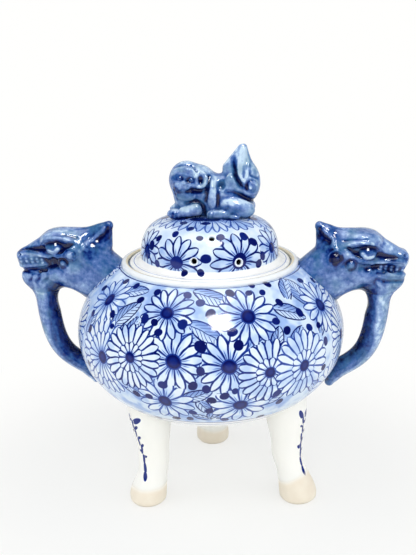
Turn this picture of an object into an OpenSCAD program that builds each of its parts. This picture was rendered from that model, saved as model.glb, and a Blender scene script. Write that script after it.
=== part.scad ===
// Blue-and-white porcelain tripod incense burner (koro): an oval bowl on three legs, two dragon-head
// handles, and a pierced lift-off lid with a crouching lion as its knob.
// Millimetres. +Z is up. The origin lies on the table plane, on the bowl's axis. The handles lie along X,
// and the front of the pot faces -Y.

/* [Bowl] */
// Largest outer radius of the bowl, at the belly
belly_r = 60; // [50:0.5:74]
// Half of the height of the bowl's oval outline
belly_half_h = 40.8; // [34:0.1:49]
// Height of the belly above the table
belly_z = 76.2; // [63:0.1:92]
// Wall of the bowl
bowl_wall = 4; // [3:0.1:5.5]

/* [Mouth] */
// Outer radius of the raised ring round the mouth
collar_r = 39.4; // [35:0.1:47]
// Height of the ring above the ledge that the lid rests on
collar_h = 2.1; // [1.6:0.1:3.5]
// Width of the ring
collar_w = 3; // [2.4:0.1:3.8]
// Width of the ledge inside the ring, which carries the lid
ledge_w = 4; // [3:0.1:5.5]
// Thickness of the ledge
ledge_t = 3; // [2.4:0.1:4]

/* [Lid] */
// Gap between the lid's flange and the ring, and between the lid's seat ring and the mouth
lid_clearance = 0.6; // [0.4:0.05:1]
// Width of the flange round the foot of the dome
flange_w = 5.2; // [3.5:0.1:7]
// Thickness of the flange
flange_t = 1.9; // [1.5:0.1:3]
// Height of the dome above the flange
dome_h = 19.6; // [16:0.1:24]
// Radius of the flat top of the dome
plateau_r = 13; // [10:0.1:15]
// Wall of the dome
dome_wall = 3.2; // [2.4:0.1:4]
// Depth of the seat ring below the ledge's top face
seat_depth = 6; // [4:0.1:9]
// Thickness of the seat ring
seat_t = 2.6; // [2:0.1:3.4]
// Diameter of a vent hole
vent_d = 3; // [2:0.1:4]

/* [Legs] */
// Half of the width of a foot at its widest
foot_half_w = 8.4; // [7:0.1:10]
// Half of the width of a leg at its ankle
ankle_half_w = 6; // [5:0.1:7]
// Half of the width of a leg where it meets the bowl
thigh_half_w = 10.2; // [8.5:0.1:12.2]

/* [Handles] */
// Where the neck leaves the bowl's oval outline, in degrees above the belly
neck_angle = 34; // [28:0.5:40]
// Where the strap meets the bowl's oval outline, in degrees below the belly
strap_angle = 36; // [28:0.5:44]
// Length of a dragon's head, from where its neck leaves the bowl to its nose
head_l = 37.5; // [31:0.5:45]
// Half of the strap's thickness, seen from the front, at its top
strap_half_t = 5.2; // [4.2:0.1:6.4]
// Half of the strap's width, seen from the side
strap_half_w = 6.2; // [4.6:0.1:7.5]

/* [Knob] */
// Length of the lion's base
lion_l = 37; // [31:0.5:39]
// Width of the lion's base
lion_w = 17; // [14:0.5:20]

/* [Hidden] */

porcelain = "ghostwhite";
bisque = "antiquewhite";
painted = "lightsteelblue";
cobalt = "royalblue";

// A joint between two clay pieces is this wide, filled with slip in the real pot.
luting_gap = 0.05;
round_fn = 96;
blob_fn = 24;

// The ledge lies where the bowl's outline is just wider than the ring.
shoulder_step = 0.8;
ledge_r = collar_r + shoulder_step;
ledge_z = belly_z + belly_half_h * sqrt(1 - pow(ledge_r / belly_r, 2));
collar_in_r = collar_r - collar_w;
mouth_r = collar_in_r - ledge_w;
flange_r = collar_in_r - lid_clearance;
dome_r = flange_r - flange_w;
flange_z = ledge_z + flange_t;
plateau_z = flange_z + dome_h;
seat_r = mouth_r - lid_clearance;

// The legs are set by hand. Each has its angle about the axis, the radius of its top and that of its foot.
legs = [["front_left", 218.5, 34, 36], ["front_right", 337, 37, 43.5], ["rear", 94, 35, 39.5]];

// The three vents of one group: angle from the group's middle, and place along the dome's outline.
vents = [[-18.5, 0.16], [17.5, 0.13], [-4, 0.51]];
vent_group_angles = [-80, 100];

// ---------------------------------------------------------------- curves
function unit(v) = v / norm(v);
function bezier(p, t) =
    pow(1 - t, 3) * p[0] + 3 * t * pow(1 - t, 2) * p[1] + 3 * t * t * (1 - t) * p[2] + pow(t, 3) * p[3];
function bezier_slope(p, t) =
    3 * pow(1 - t, 2) * (p[1] - p[0]) + 6 * t * (1 - t) * (p[2] - p[1]) + 3 * t * t * (p[3] - p[2]);
// A point beside a curve in the plane, to the left of its direction.
function beside(p, t, d) = let (s = unit(bezier_slope(p, t))) bezier(p, t) + d * [-s[1], s[0]];
function arc(centre, r, from, to, steps) =
    [for (i = [0:steps]) let (a = from + (to - from) * i / steps) centre + r * [cos(a), sin(a)]];
function smooth(t) = t * t * (3 - 2 * t);
// Reads a row of [position, value] pairs, easing from one pair to the next.
function eased(row, x, i = 0) =
    x <= row[0][0] ? row[0][1]
    : i + 1 >= len(row) ? row[len(row) - 1][1]
    : x > row[i + 1][0] ? eased(row, x, i + 1)
    : row[i][1] + (row[i + 1][1] - row[i][1]) * smooth((x - row[i][0]) / (row[i + 1][0] - row[i][0]));

// Closed solid through rings of points, each ring anticlockwise as seen from the end.
module skin(rings) {
    n = len(rings[0]);
    last = len(rings) - 1;
    sides = [for (i = [0:last - 1], j = [0:n - 1])
        [i * n + j, (i + 1) * n + j, (i + 1) * n + (j + 1) % n, i * n + (j + 1) % n]];
    polyhedron([for (r = rings) each r],
        concat(sides, [[for (j = [0:n - 1]) j], [for (j = [n - 1:-1:0]) last * n + j]]));
}

module blob(p, r) translate(p) sphere(r, $fn = blob_fn);
// A bar with a ball at each end.
module bar(p, r, q, s) hull() { blob(p, r); blob(q, s); }
// The same bar on both sides of the middle plane, with the web between them.
module wide_bar(p, r, q, s) hull() for (side = [-1, 1]) {
    blob([p[0], side * p[1], p[2]], r);
    blob([q[0], side * q[1], q[2]], s);
}

// ---------------------------------------------------------------- bowl
function oval(half_w, half_h, angle) = [half_w * cos(angle), belly_z + half_h * sin(angle)];

module bowl_filled(gap) {
    rotate_extrude($fn = round_fn)
        polygon([for (a = [-90:3:90]) oval(belly_r + gap, belly_half_h + gap, a)]);
}

module bowl() color(painted) {
    ledge_angle = acos(ledge_r / belly_r);
    steps = 34;
    outer = [for (i = [0:steps]) oval(belly_r, belly_half_h, -90 + (ledge_angle + 90) * i / steps)];
    in_r = belly_r - bowl_wall;
    in_h = belly_half_h - bowl_wall;
    top_angle = asin((ledge_z - ledge_t - belly_z) / in_h);
    inner = [for (i = [0:steps]) oval(in_r, in_h, top_angle - (top_angle + 90) * i / steps)];
    rotate_extrude($fn = round_fn)
        polygon(concat(outer, [[mouth_r, ledge_z], [mouth_r, ledge_z - ledge_t]], inner));
}

module rim_collar() color(porcelain) {
    edge = 1.1;
    top = ledge_z + collar_h;
    rotate_extrude($fn = round_fn)
        polygon(concat([[collar_in_r, ledge_z], [collar_r, ledge_z]],
            arc([collar_r - edge, top - edge], edge, 0, 90, 5),
            arc([collar_in_r + edge, top - edge], edge, 90, 180, 5)));
}

// ---------------------------------------------------------------- legs
module leg(angle, top_r, foot_r) {
    sides = 28;
    top_z = belly_z - 0.2 * belly_half_h;
    bowl_z = belly_z - belly_half_h * sqrt(1 - pow(top_r / belly_r, 2));
    // Height, and half of the width across the leg, from the floor to inside the bowl.
    widths = [[0, foot_half_w - 1.3], [1.2, foot_half_w - 0.2], [3, foot_half_w], [0.36 * bowl_z, ankle_half_w],
              [0.56 * bowl_z, ankle_half_w + 0.3], [bowl_z, thigh_half_w - 0.8], [top_z, thigh_half_w]];
    // Height, and radius of the leg's centre line.
    centres = [[2, foot_r], [0.5 * bowl_z, top_r]];
    heights = concat([0, 0.4, 1.2, 3], [for (i = [1:16]) 3 + (bowl_z - 3) * i / 16], [top_z]);
    difference() {
        rotate([0, 0, angle]) skin([for (z = heights)
            let (half_w = eased(widths, z), centre = eased(centres, z))
            [for (j = [0:sides - 1]) let (a = 360 * j / sides)
                [centre + half_w * cos(a), half_w * sin(a), z]]]);
        bowl_filled(luting_gap);
    }
}

// ---------------------------------------------------------------- handles
// The neck leaves the bowl here. The head's own places are measured from this point, for a head 37.5 long.
neck = oval(belly_r, belly_half_h, neck_angle);
neck_root = [neck[0], 0, neck[1]];
head_scale = head_l / 37.5;
// The strap runs from under the chin to the bowl's lower flank.
strap_top = neck + head_scale * [25.5, -5.5];
strap_foot = oval(belly_r, belly_half_h, -strap_angle);
strap_drop = strap_top[1] - strap_foot[1];
strap_path = [strap_top, strap_top + [-1.4, -0.65 * strap_drop],
              strap_foot + [0.78 * (strap_top[0] - strap_foot[0]), 0.27 * strap_drop], strap_foot + [1, 2]];

// Keeps a handle piece off the bowl and off the ring round the mouth.
module clear_of_pot() difference() {
    children();
    bowl_filled(luting_gap);
    translate([0, 0, ledge_z - 1]) cylinder(h = 30, r = collar_r + 0.3, $fn = round_fn);
}

module dragon_head() color(cobalt) clear_of_pot() difference() {
    translate(neck_root) scale(head_scale) {
        hull() { wide_bar([-8, 2.5, 5.5], 4.6, [6, 3, 12], 5.4); blob([-2, 0, 0], 8); }              // nape
        hull() { wide_bar([2, 3, -4.5], 4, [14, 3, 4], 6.6); blob([4, 0, 6], 8.6); }                 // throat
        hull() { wide_bar([4, 2, 19], 4.2, [18, 3.4, 17.4], 5.8); blob([12, 0, 8], 9.6); }           // skull
        hull() { blob([-3.4, 0, 25], 1.2); wide_bar([-0.4, 2, 16.4], 3.2, [9, 2.4, 18.8], 4.6); }    // crest
        hull() { wide_bar([18, 3.2, 13.6], 6.4, [31.6, 2, 10.4], 4.4); blob([34, 0, 9.4], 3.6); }    // snout
        hull() {                                                                                     // jaw
            wide_bar([18, 2.6, 3.4], 6, [32.6, 1.4, 2.2], 3.6);
            wide_bar([24.6, 1.4, -2], 4.4, [31.2, 1.2, -2.2], 3);
        }
        for (side = [-1, 1]) {
            blob([21.4, side * 7.6, 14.6], 2.8);                                                     // eye
            blob([8.4, side * 8, 9.4], 2.6);                                                         // curl
        }
    }
    translate([0, -40, strap_top[1] - 60]) cube([200, 80, 60]);
}

module handle_strap() color(cobalt) clear_of_pot() intersection() {
    sides = 16;
    steps = 26;
    union() {
        skin([for (i = [0:steps]) let (
                t = i / steps,
                c = bezier(strap_path, t),
                s = i == 0 ? [0, -1] : unit(bezier_slope(strap_path, t)),
                half_t = strap_half_t - 1.2 * smooth(t),
                half_w = strap_half_w - 0.8 * t)
            [for (j = [0:sides - 1]) let (a = 360 * j / sides, across = half_t * cos(a))
                [c[0] - s[1] * across, -half_w * sin(a), c[1] + s[0] * across]]]);
        spur = [strap_foot[0] + 5, 0, strap_foot[1] + 2.4];
        bar(spur, 4.2, spur + [-0.6, 0, -4.2], 2.4);                     // tip that hangs beside the bowl
    }
    translate([0, -40, strap_top[1] - luting_gap - 100]) cube([200, 80, 100]);
}

// ---------------------------------------------------------------- lid
dome_outline = [[dome_r, flange_z], [dome_r + 0.7, flange_z + 0.82 * dome_h],
                [plateau_r + 11, plateau_z - 1.4], [plateau_r, plateau_z]];
dome_steps = 18;

module vent(angle, t) {
    at = bezier(dome_outline, t);
    s = bezier_slope(dome_outline, t);
    rotate([0, 0, angle]) translate([at[0], 0, at[1]]) rotate([0, atan2(s[1], -s[0]), 0])
        cylinder(h = 3.4 * dome_wall, d = vent_d, center = true, $fn = 32);
}

function dome_curve(gap) = [for (i = [0:dome_steps]) beside(dome_outline, i / dome_steps, -gap)];

module dome_filled(gap) {
    rotate_extrude($fn = round_fn)
        polygon(concat([[0, flange_z]], dome_curve(gap), [[0, plateau_z + gap]]));
}

module lid_dome() color(painted) difference() {
    edge = 0.6;
    outer = dome_curve(0);
    inner = [for (i = [dome_steps:-1:0]) beside(dome_outline, i / dome_steps, dome_wall)];
    rotate_extrude($fn = round_fn)
        polygon(concat([[dome_r - dome_wall, ledge_z], [flange_r, ledge_z]],
            arc([flange_r - edge, flange_z - edge], edge, 0, 90, 4), outer,
            [[0, plateau_z], [0, plateau_z - dome_wall]], inner));
    for (group = vent_group_angles, v = vents) vent(group + v[0], v[1]);
}

module lid_seat_ring() color(bisque) {
    edge = 0.7;
    low = ledge_z - seat_depth;
    rotate_extrude($fn = round_fn)
        polygon(concat([[seat_r - seat_t, ledge_z]],
            arc([seat_r - seat_t + edge, low + edge], edge, 180, 270, 4),
            arc([seat_r - edge, low + edge], edge, 270, 360, 4), [[seat_r, ledge_z]]));
}

// ---------------------------------------------------------------- knob
// The lion lies along X with its head at -X, turned to the front, and its tail stands up at +X.
// Its places are written for a base 37 long and 17 wide.
lion_scale = [lion_l / 37, lion_w / 17, lion_l / 37];

module lion_figure() {
    wide_bar([-8, 1.2, 9.5], 6.4, [9.2, 1.2, 8.6], 7);                           // body
    hull() { blob([-10.4, -1.6, 16.8], 7); blob([-9, 1, 16], 7); }               // head
    hull() { blob([-12.6, -3.6, 13], 4.4); blob([-10.8, -2, 9.4], 4.6); }        // muzzle
    for (side = [-1, 1]) {
        bar([-5.6, side * 4.4, 7], 3.8, [-15, side * 4.6, 3], 2.8);              // foreleg
        bar([12.2, side * 3.6, 7.4], 5.4, [5.6, side * 4.4, 5], 4);              // haunch
        bar([6.4, side * 5.6, 3], 2.6, [-1, side * 5.6, 2.8], 2.2);              // hind foot
    }
    hull() { blob([15.6, 0, 8], 4.4); blob([16.3, 0, 15], 5.8); }                // root of the tail
    hull() {                                                                     // tail
        blob([16.3, 0, 16], 5.9);
        blob([15.4, 0, 25.4], 3.4);
        blob([15.6, 0, 29.6], 1.6);
    }
}

module lion_knob() color(cobalt) difference() {
    plinth_h = 1.2;
    skirt_h = 3;
    end_r = lion_w / 2;
    end_x = lion_l / 2 - end_r;
    translate([0, 0, plateau_z]) {
        hull() for (x = [-end_x, end_x])
            translate([x, 0, -skirt_h]) cylinder(h = skirt_h + plinth_h, r = end_r, $fn = 48);
        difference() {
            scale(lion_scale) lion_figure();
            translate([0, 0, -20]) cube([80, 80, 40], center = true);
        }
    }
    dome_filled(luting_gap);
}

// ---------------------------------------------------------------- the pieces
bowl();
rim_collar();
for (l = legs)
    color(porcelain) leg(l[1], l[2], l[3]);
mirror([1, 0, 0]) dragon_head();  // dragon_head_left
dragon_head();  // dragon_head_right
mirror([1, 0, 0]) handle_strap();  // handle_strap_left
handle_strap();  // handle_strap_right
lid_dome();
lid_seat_ring();
lion_knob();
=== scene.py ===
"""The looks of a blue-and-white porcelain tripod incense burner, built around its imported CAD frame.

Lengths are in millimetres, in the frame's own axes, until a mesh is made: mesh_piece turns them into metres.
"""
import math

import bpy
import numpy as np
from mathutils import Matrix, Vector


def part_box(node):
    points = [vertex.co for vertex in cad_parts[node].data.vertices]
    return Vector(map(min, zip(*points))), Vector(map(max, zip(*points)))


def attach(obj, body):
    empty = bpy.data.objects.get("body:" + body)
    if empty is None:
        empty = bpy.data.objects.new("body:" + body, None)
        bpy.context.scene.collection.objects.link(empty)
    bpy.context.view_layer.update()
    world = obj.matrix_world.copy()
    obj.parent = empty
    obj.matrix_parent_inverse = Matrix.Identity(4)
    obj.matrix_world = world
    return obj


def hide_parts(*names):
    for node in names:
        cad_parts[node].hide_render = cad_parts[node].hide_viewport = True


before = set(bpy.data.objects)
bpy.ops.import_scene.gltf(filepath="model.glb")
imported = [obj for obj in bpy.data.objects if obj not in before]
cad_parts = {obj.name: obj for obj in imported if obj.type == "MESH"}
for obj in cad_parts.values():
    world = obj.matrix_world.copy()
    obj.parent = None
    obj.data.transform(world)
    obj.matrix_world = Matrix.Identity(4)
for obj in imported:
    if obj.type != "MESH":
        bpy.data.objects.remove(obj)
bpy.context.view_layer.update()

METRE = 1000.0
rng = np.random.default_rng(7)


def box_mm(node):
    """Lowest and highest corner of a CAD node, in millimetres."""
    low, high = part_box(node)
    return np.array(low) * METRE, np.array(high) * METRE


# ---------------------------------------------------------------- sizes
bowl_low, bowl_high = box_mm("bowl")
collar_low, collar_high = box_mm("rim_collar")
dome_low, dome_high = box_mm("lid_dome")
seat_low, seat_high = box_mm("lid_seat_ring")

# Sizes of the part that its boxes don't give, in millimetres.
BELLY_HALF_H = 40.8
BOWL_WALL = 4.0
MOUTH_R = 32.4
LEDGE_T = 3.0
COLLAR_W = 3.0
DOME_R = 30.6
FLANGE_T = 1.9
PLATEAU_R = 13.0
DOME_WALL = 3.2
SEAT_T = 2.6
VENT_R = 1.5
# The vents of one group: angle from the group's middle, and place along the dome's outline.
VENTS = ((-18.5, 0.16), (17.5, 0.13), (-4, 0.51))
VENT_GROUPS = (-80, 100)

belly_r = bowl_high[0]
belly_z = bowl_low[2] + BELLY_HALF_H
ledge_z = bowl_high[2]
collar_r = collar_high[0]
flange_r = dome_high[0]
flange_z = dome_low[2] + FLANGE_T
plateau_z = dome_high[2]


# ---------------------------------------------------------------- curves
def smoothstep(low, high, x):
    t = np.clip((x - low) / (high - low), 0.0, 1.0)
    return t * t * (3.0 - 2.0 * t)


def bezier(points, t):
    a, b, c, d = (np.asarray(p, float) for p in points)
    t = np.asarray(t, float)[..., None]
    return (1 - t) ** 3 * a + 3 * t * (1 - t) ** 2 * b + 3 * t * t * (1 - t) * c + t**3 * d


def beside(path, distance):
    """The path moved sideways, to the left of its direction, by distance."""
    step = np.gradient(path, axis=0)
    step /= np.linalg.norm(step, axis=1)[:, None]
    return path + distance * np.stack([-step[:, 1], step[:, 0]], axis=1)


def arc(centre, radius, start, end, steps):
    angle = np.radians(np.linspace(start, end, steps + 1))
    return np.array(centre) + radius * np.stack([np.cos(angle), np.sin(angle)], axis=1)


def all_round(sides):
    """Angles spread evenly round the axis, in radians."""
    return 2 * np.pi * np.arange(sides) / sides


def cos_sin(degrees):
    return math.cos(math.radians(degrees)), math.sin(math.radians(degrees))


def facing(azimuth):
    """The direction away from the axis at an azimuth in degrees. 0 is the front, and it grows towards +X."""
    c, s = cos_sin(azimuth)
    return np.array([s, -c, 0.0])


def on_oval(height):
    """(radius, z) of the bowl's oval outline at a height in degrees."""
    c, s = cos_sin(height)
    return np.array([belly_r * c, belly_z + BELLY_HALF_H * s])


def eased(table, x):
    """Reads a list of (position, value) pairs, easing from one pair to the next."""
    x = np.asarray(x, float)
    places = np.array([row[0] for row in table], float)
    values = np.array([row[1] for row in table], float)
    i = np.clip(np.searchsorted(places, x, side="right") - 1, 0, len(places) - 2)
    t = smoothstep(0.0, 1.0, (x - places[i]) / (places[i + 1] - places[i]))
    return values[i] + (values[i + 1] - values[i]) * t


def even_steps(path, step):
    """The same path with points about one step apart."""
    length = np.concatenate([[0.0], np.cumsum(np.linalg.norm(np.diff(path, axis=0), axis=1))])
    places = np.linspace(0.0, length[-1], max(2, round(length[-1] / step) + 1))
    return np.stack([np.interp(places, length, path[:, k]) for k in range(path.shape[1])], axis=1)


def outline(*stretches, step=1.0):
    """Joins stretches of a lathe's outline. Each keeps its ends, so corners stay sharp.

    A point that two stretches share is kept once.
    """
    path = np.concatenate([even_steps(np.asarray(s, float), step) for s in stretches])
    return path[np.append(True, np.linalg.norm(np.diff(path, axis=0), axis=1) > 1e-6)]


# ---------------------------------------------------------------- meshes
def placed(name, data):
    """A new object in the scene, which holds a mesh, a lamp or a camera."""
    holder = bpy.data.objects.new(name, data)
    bpy.context.scene.collection.objects.link(holder)
    return holder


def shade_smooth(mesh):
    mesh.polygons.foreach_set("use_smooth", [True] * len(mesh.polygons))


def mesh_piece(name, points, faces, body, nodes, material):
    """Makes a smooth-shaded object from points in millimetres, which stands for the CAD nodes."""
    mesh = bpy.data.meshes.new(name)
    mesh.from_pydata((np.asarray(points) / METRE).tolist(), [], [list(map(int, f)) for f in faces])
    mesh.validate()
    shade_smooth(mesh)
    mesh.materials.append(material)
    piece = placed(name, mesh)
    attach(piece, body)
    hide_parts(*nodes)
    return piece


def read(items, value, kind, width=1):
    """One value of every point, corner or face of a mesh, as an array."""
    found = np.empty(len(items) * width, kind)
    items.foreach_get(value, found)
    return found.reshape(-1, width) if width > 1 else found


def mark(piece, name, values):
    """Gives each point of the piece a number that its material reads."""
    numbers = np.asarray(values, np.float32)
    piece.data.attributes.new(name, "FLOAT", "POINT").data.foreach_set("value", numbers)


def grid_faces(rings, sides, closed_rings=False):
    """Quads between rings of points, each ring closed. Ring r, point s is point r * sides + s."""
    last = rings if closed_rings else rings - 1
    r = np.arange(last)[:, None]
    s = np.arange(sides)[None, :]
    here, there = r * sides, (r + 1) % rings * sides
    right = (s + 1) % sides
    return np.stack([here + s, here + right, there + right, there + s], axis=-1).reshape(-1, 4)


def tube_faces(rings, sides):
    """The faces between rings of points, and one that closes each end."""
    count = rings * sides
    return grid_faces(rings, sides).tolist() + [list(range(sides))[::-1], list(range(count - sides, count))]


def hand_thrown(points, amount=0.16):
    """Pushes points in and out by a fraction of a millimetre, as hands on a wheel leave them."""
    angle = np.arctan2(points[:, 1], points[:, 0])
    z = points[:, 2]
    wave = np.sin(3 * angle + 0.05 * z) + 0.7 * np.sin(5 * angle - 0.09 * z + 1.3)
    wave += 0.5 * np.sin(0.33 * z + 2 * angle)
    radius = np.hypot(points[:, 0], points[:, 1])
    out = points.copy()
    out[:, :2] *= (1 + amount * wave * smoothstep(2.0, 20.0, radius) / np.maximum(radius, 1.0))[:, None]
    return out


def lathe(profile, sides, amount=0.16):
    """Points and faces of a closed profile turned about Z. A profile point on the axis makes one point."""
    angle = all_round(sides)
    ring = np.stack([np.cos(angle), np.sin(angle)], axis=1)
    radius = np.maximum(profile[:, 0], 0.0)
    height = np.broadcast_to(profile[:, 1][:, None, None], (len(profile), sides, 1))
    points = np.concatenate([radius[:, None, None] * ring[None], height], axis=2).reshape(-1, 3)
    faces = grid_faces(len(profile), sides, closed_rings=True)
    points = hand_thrown(points, amount)
    on_axis = np.repeat(radius < 1e-6, sides)
    first = np.arange(len(points)) // sides * sides
    merge = np.where(on_axis, first, np.arange(len(points)))
    faces = merge[faces]
    used, packed = np.unique(faces, return_inverse=True)
    corners = [list(dict.fromkeys(face)) for face in packed.reshape(faces.shape).tolist()]
    return points[used], [face for face in corners if len(face) > 2]


# ---------------------------------------------------------------- painting: where each motif sits
# Places on the bowl are (azimuth from the front towards +X, height on the oval) in degrees.
# Chrysanthemums: azimuth, height, radius, petals, rings of petals, darkness of the line.
BACK_BLOOMS = (
    (-44, 2, 16.5, 24, 3, 0.62), (-10.5, 8.5, 12.6, 14, 1, 0.8), (11, 6, 12.8, 14, 1, 0.78),
    (-15, -18, 12, 12, 1, 0.66), (16, -20, 12.4, 12, 1, 0.66), (-53, 33, 11, 14, 1, 0.58),
    (64, 27, 12, 14, 1, 0.65), (-66, -22, 12, 16, 2, 0.5), (66, -23, 12, 16, 2, 0.5),
)
FRONT_BLOOMS = (
    (27, 0, 13.6, 20, 2, 0.78), (-16, 33.5, 11.4, 14, 1, 0.8), (21, 31.5, 12.4, 14, 1, 0.76),
    (-75, 8, 13, 20, 2, 0.62), (75, 4, 13, 20, 2, 0.62),
)
TOP_BLOOMS = ((-29, 7, 13.6, 21, 2, 0.82), (43, -1, 14.6, 20, 2, 0.64))
# Berries: azimuth, height and radius. A darker or paler one now and then comes from their order.
BERRIES = (
    (-1, 40, 1.8), (4, 34, 2.2), (-26, 29, 1.9), (-21, 28, 1.6), (-18, 23, 1.7), (-8, 28, 2.1), (0, 17, 2.5),
    (13, 24, 2), (15, 17, 2.1), (0, 4, 1.9), (-15, -6, 1.9), (-3, -5, 2), (2, -7, 1.9), (4, -15, 1.9),
    (9, -12, 1.9), (13, -9, 1.4), (-45, 27, 1.7), (-42, 21, 1.3), (-33, 38, 1.7), (-26, 44, 1.7),
    (-8, 44, 1.8), (-53, 45, 1.6), (-42, 45, 1.6), (15, 45, 2), (25, 44, 1.5), (33, 43, 1.5), (39, 36, 1.7),
    (33, 27, 1.7), (37, 21, 1.8), (47, 28, 1.9), (49, 19, 1.7), (55, 18, 1.5), (57, 8, 1.8), (-28, -16, 1.8),
    (-22, -16, 1.7), (31, -15, 2), (34, -23, 1.9), (-25, -39, 1.8), (-13, -34, 1.8), (-6, -33, 1.7),
    (10, -34, 1.8), (29, -37, 1.8), (29, 48, 1.5), (39, 47, 1.7), (64, 43, 1.7), (76, 39, 1.6),
    (-57, 14, 1.7), (-60, 22, 1.6), (-66, 36, 1.7), (3, -24, 1.8), (-4, -26, 1.7), (56, -8, 1.7),
    (-57, -8, 1.7),
)
# Leaves: azimuth, height, half of the length, half of the width, turn, darkness.
LEAVES = (
    (4, 43, 8, 3.6, -28, 0.7), (-38, 28, 9, 3.6, 52, 0.9), (54, 39, 8, 4, 100, 0.65),
    (42, 30, 8, 3.4, -30, 0.7), (31, 16, 7, 2.8, 62, 0.8), (2, 24, 9, 3.4, -35, 0.6),
    (8, 17, 8, 3, -62, 0.7), (5, -27, 5.5, 2.2, 60, 0.8), (9, -30, 4.5, 2, 10, 0.75),
    (0, -31, 4.5, 2, 150, 0.75), (-48, 14, 6, 2.4, 70, 0.8), (50, 10, 6, 2.4, -70, 0.75),
    (-2, -12, 7, 2.8, 20, 0.7), (-68, -2, 7, 2.6, 40, 0.65), (-40, 42, 7, 2.8, 20, 0.6),
    (14, 40, 6, 2.4, -60, 0.65), (-31, 22, 7, 2.8, 70, 0.75), (0, 10, 8, 2.8, 74, 0.6),
    (-6, 19, 8, 2.8, 24, 0.55), (-58, 18, 7, 2.6, 80, 0.65), (22, 17, 7, 2.6, 20, 0.6),
    (40, 15, 7, 2.6, 40, 0.7), (-30, -12, 7, 2.8, -30, 0.65), (30, -18, 7, 2.8, 35, 0.65),
    (1, -20, 6.5, 2.6, -70, 0.7), (48, 42, 7, 2.8, 60, 0.6), (-24, 24, 7, 2.6, 100, 0.6),
    (58, 20, 7, 2.8, 60, 0.65), (-50, -14, 8, 2.8, 50, 0.6), (52, -18, 8, 2.8, -50, 0.6),
)
# Where the back of the bowl is filled at random: azimuths and heights.
BACK_AZIMUTHS = (88, 272)
BACK_HEIGHTS = (-40, 46)
# What fills it, in turn: what it is, its radius and how many places are tried.
BACK_FILL = (("bloom", 12.5, 1500), ("bloom", 9.5, 1500), ("leaf", 5.5, 900), ("berry", 2.6, 2600))
# On the lid: azimuth, place along the dome's outline, radius, petals, rings, darkness.
LID_BLOOMS = (
    (-23, 0.13, 11, 12, 1, 0.88), (28, 0.14, 12.2, 12, 1, 0.9), (66, 0.2, 9.5, 11, 1, 0.75),
    (-60, 0.2, 9.5, 11, 1, 0.85), (105, 0.3, 10, 12, 1, 0.6), (148, 0.14, 10.5, 11, 1, 0.6),
    (-160, 0.16, 10, 11, 1, 0.6), (-112, 0.24, 10, 14, 2, 0.6),
)
LID_TOP_BLOOMS = (
    (-26, 1.3, 13, 18, 1, 0.62), (10, 1.35, 14, 20, 1, 0.55), (50, 1.1, 12, 16, 1, 0.6),
    (-62, 1.0, 11, 15, 1, 0.62), (84, 0.8, 9, 13, 1, 0.5), (-92, 0.78, 9, 13, 1, 0.5),
    (140, 0.76, 9, 13, 1, 0.5), (-140, 0.76, 9, 13, 1, 0.5), (180, 0.7, 8, 13, 1, 0.5),
)
LID_BERRIES = (
    (-23, 0.13, 2.8), (28, 0.145, 3.3), (-31, 0.56, 1.7), (-5, 0.51, 1.4), (14, 0.52, 1.8), (37, 0.5, 2),
    (44, 0.36, 2), (1, 0.19, 2.1), (-16, 0.03, 1.7), (-3, 0.04, 1.7), (-43, 0.08, 1.7), (46, 0.08, 1.8),
    (51, 0.15, 1.8), (-37, 0.88, 1.8), (-2, 0.93, 1.9), (14, 0.4, 1.2), (-53, 0.28, 2), (-57, 0.14, 2.2),
    (-47, 0.42, 1.6), (-18, 0.74, 1.6), (84, 0.1, 1.8), (-84, 0.1, 1.8), (88, 0.46, 1.8), (-88, 0.44, 1.8),
    (124, 0.1, 1.8), (128, 0.46, 1.8), (170, 0.5, 1.8), (-128, 0.1, 1.8), (-136, 0.48, 1.8),
    (168, 0.08, 1.8), (-176, 0.34, 1.8), (-98, 0.6, 1.8),
)


def oval_point(azimuth, height):
    """A point of the bowl's outside and the outward direction there."""
    out = facing(azimuth)
    r, z = on_oval(height)
    c, s = cos_sin(height)
    normal = c / belly_r * out + np.array([0.0, 0.0, s / BELLY_HALF_H])
    return r * out + np.array([0.0, 0.0, z]), normal / np.linalg.norm(normal)


# The four points of the curve from the dome's foot to its flat top.
dome_outline = [
    (DOME_R, flange_z),
    (DOME_R + 0.7, flange_z + 0.82 * (plateau_z - flange_z)),
    (PLATEAU_R + 11, plateau_z - 1.4),
    (PLATEAU_R, plateau_z),
]


def dome_point(azimuth, place):
    """A point of the dome's outside at a place along its outline, and the outward direction there."""
    out = facing(azimuth)
    if place < 1:
        (r, z), (r1, z1) = bezier(dome_outline, [place, place + 0.01])
    else:  # on the plateau, where 0.1 is a millimetre towards the axis; it counts as sloping a little
        r, z = PLATEAU_R - 10 * (place - 1), plateau_z
        r1, z1 = r - 0.1, z + 0.01
    slope = np.array([r1 - r, z1 - z])
    slope /= np.linalg.norm(slope)
    return r * out + np.array([0.0, 0.0, z]), slope[1] * out - np.array([0.0, 0.0, slope[0]])


def stamp(point_and_normal, reach, turn, place_scale, kind):
    """One motif: its centre and outward direction, how far it reaches, its turn in degrees and its kind.

    place_scale and kind are numbers that the material reads: see bloom_layer, leaf_layer and dab_layer.
    """
    point, normal = point_and_normal
    side = np.cross([0.0, 0.0, 1.0], normal)
    side /= np.linalg.norm(side)
    up = np.cross(normal, side)
    c, s = cos_sin(turn)
    along, across = c * side + s * up, -s * side + c * up
    return {"centre": point, "normal": normal, "along": along, "across": across,
            "reach": reach, "size": place_scale, "kind": kind}


def bloom(surface, azimuth, height, radius, petals, rings, dark):
    turn = (azimuth * 7 + height * 11) % 360
    return stamp(surface(azimuth, height), radius * 1.08, turn, radius, (petals, rings, dark))


def berry(surface, order, azimuth, height, radius):
    dark = 0.86 + 0.14 * ((order * 3) % 5) / 4
    turn = (order * 53) % 180
    return stamp(surface(azimuth, height), radius * 1.4, turn, 1.0, (radius * 1.1, radius * 0.92, dark))


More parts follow.
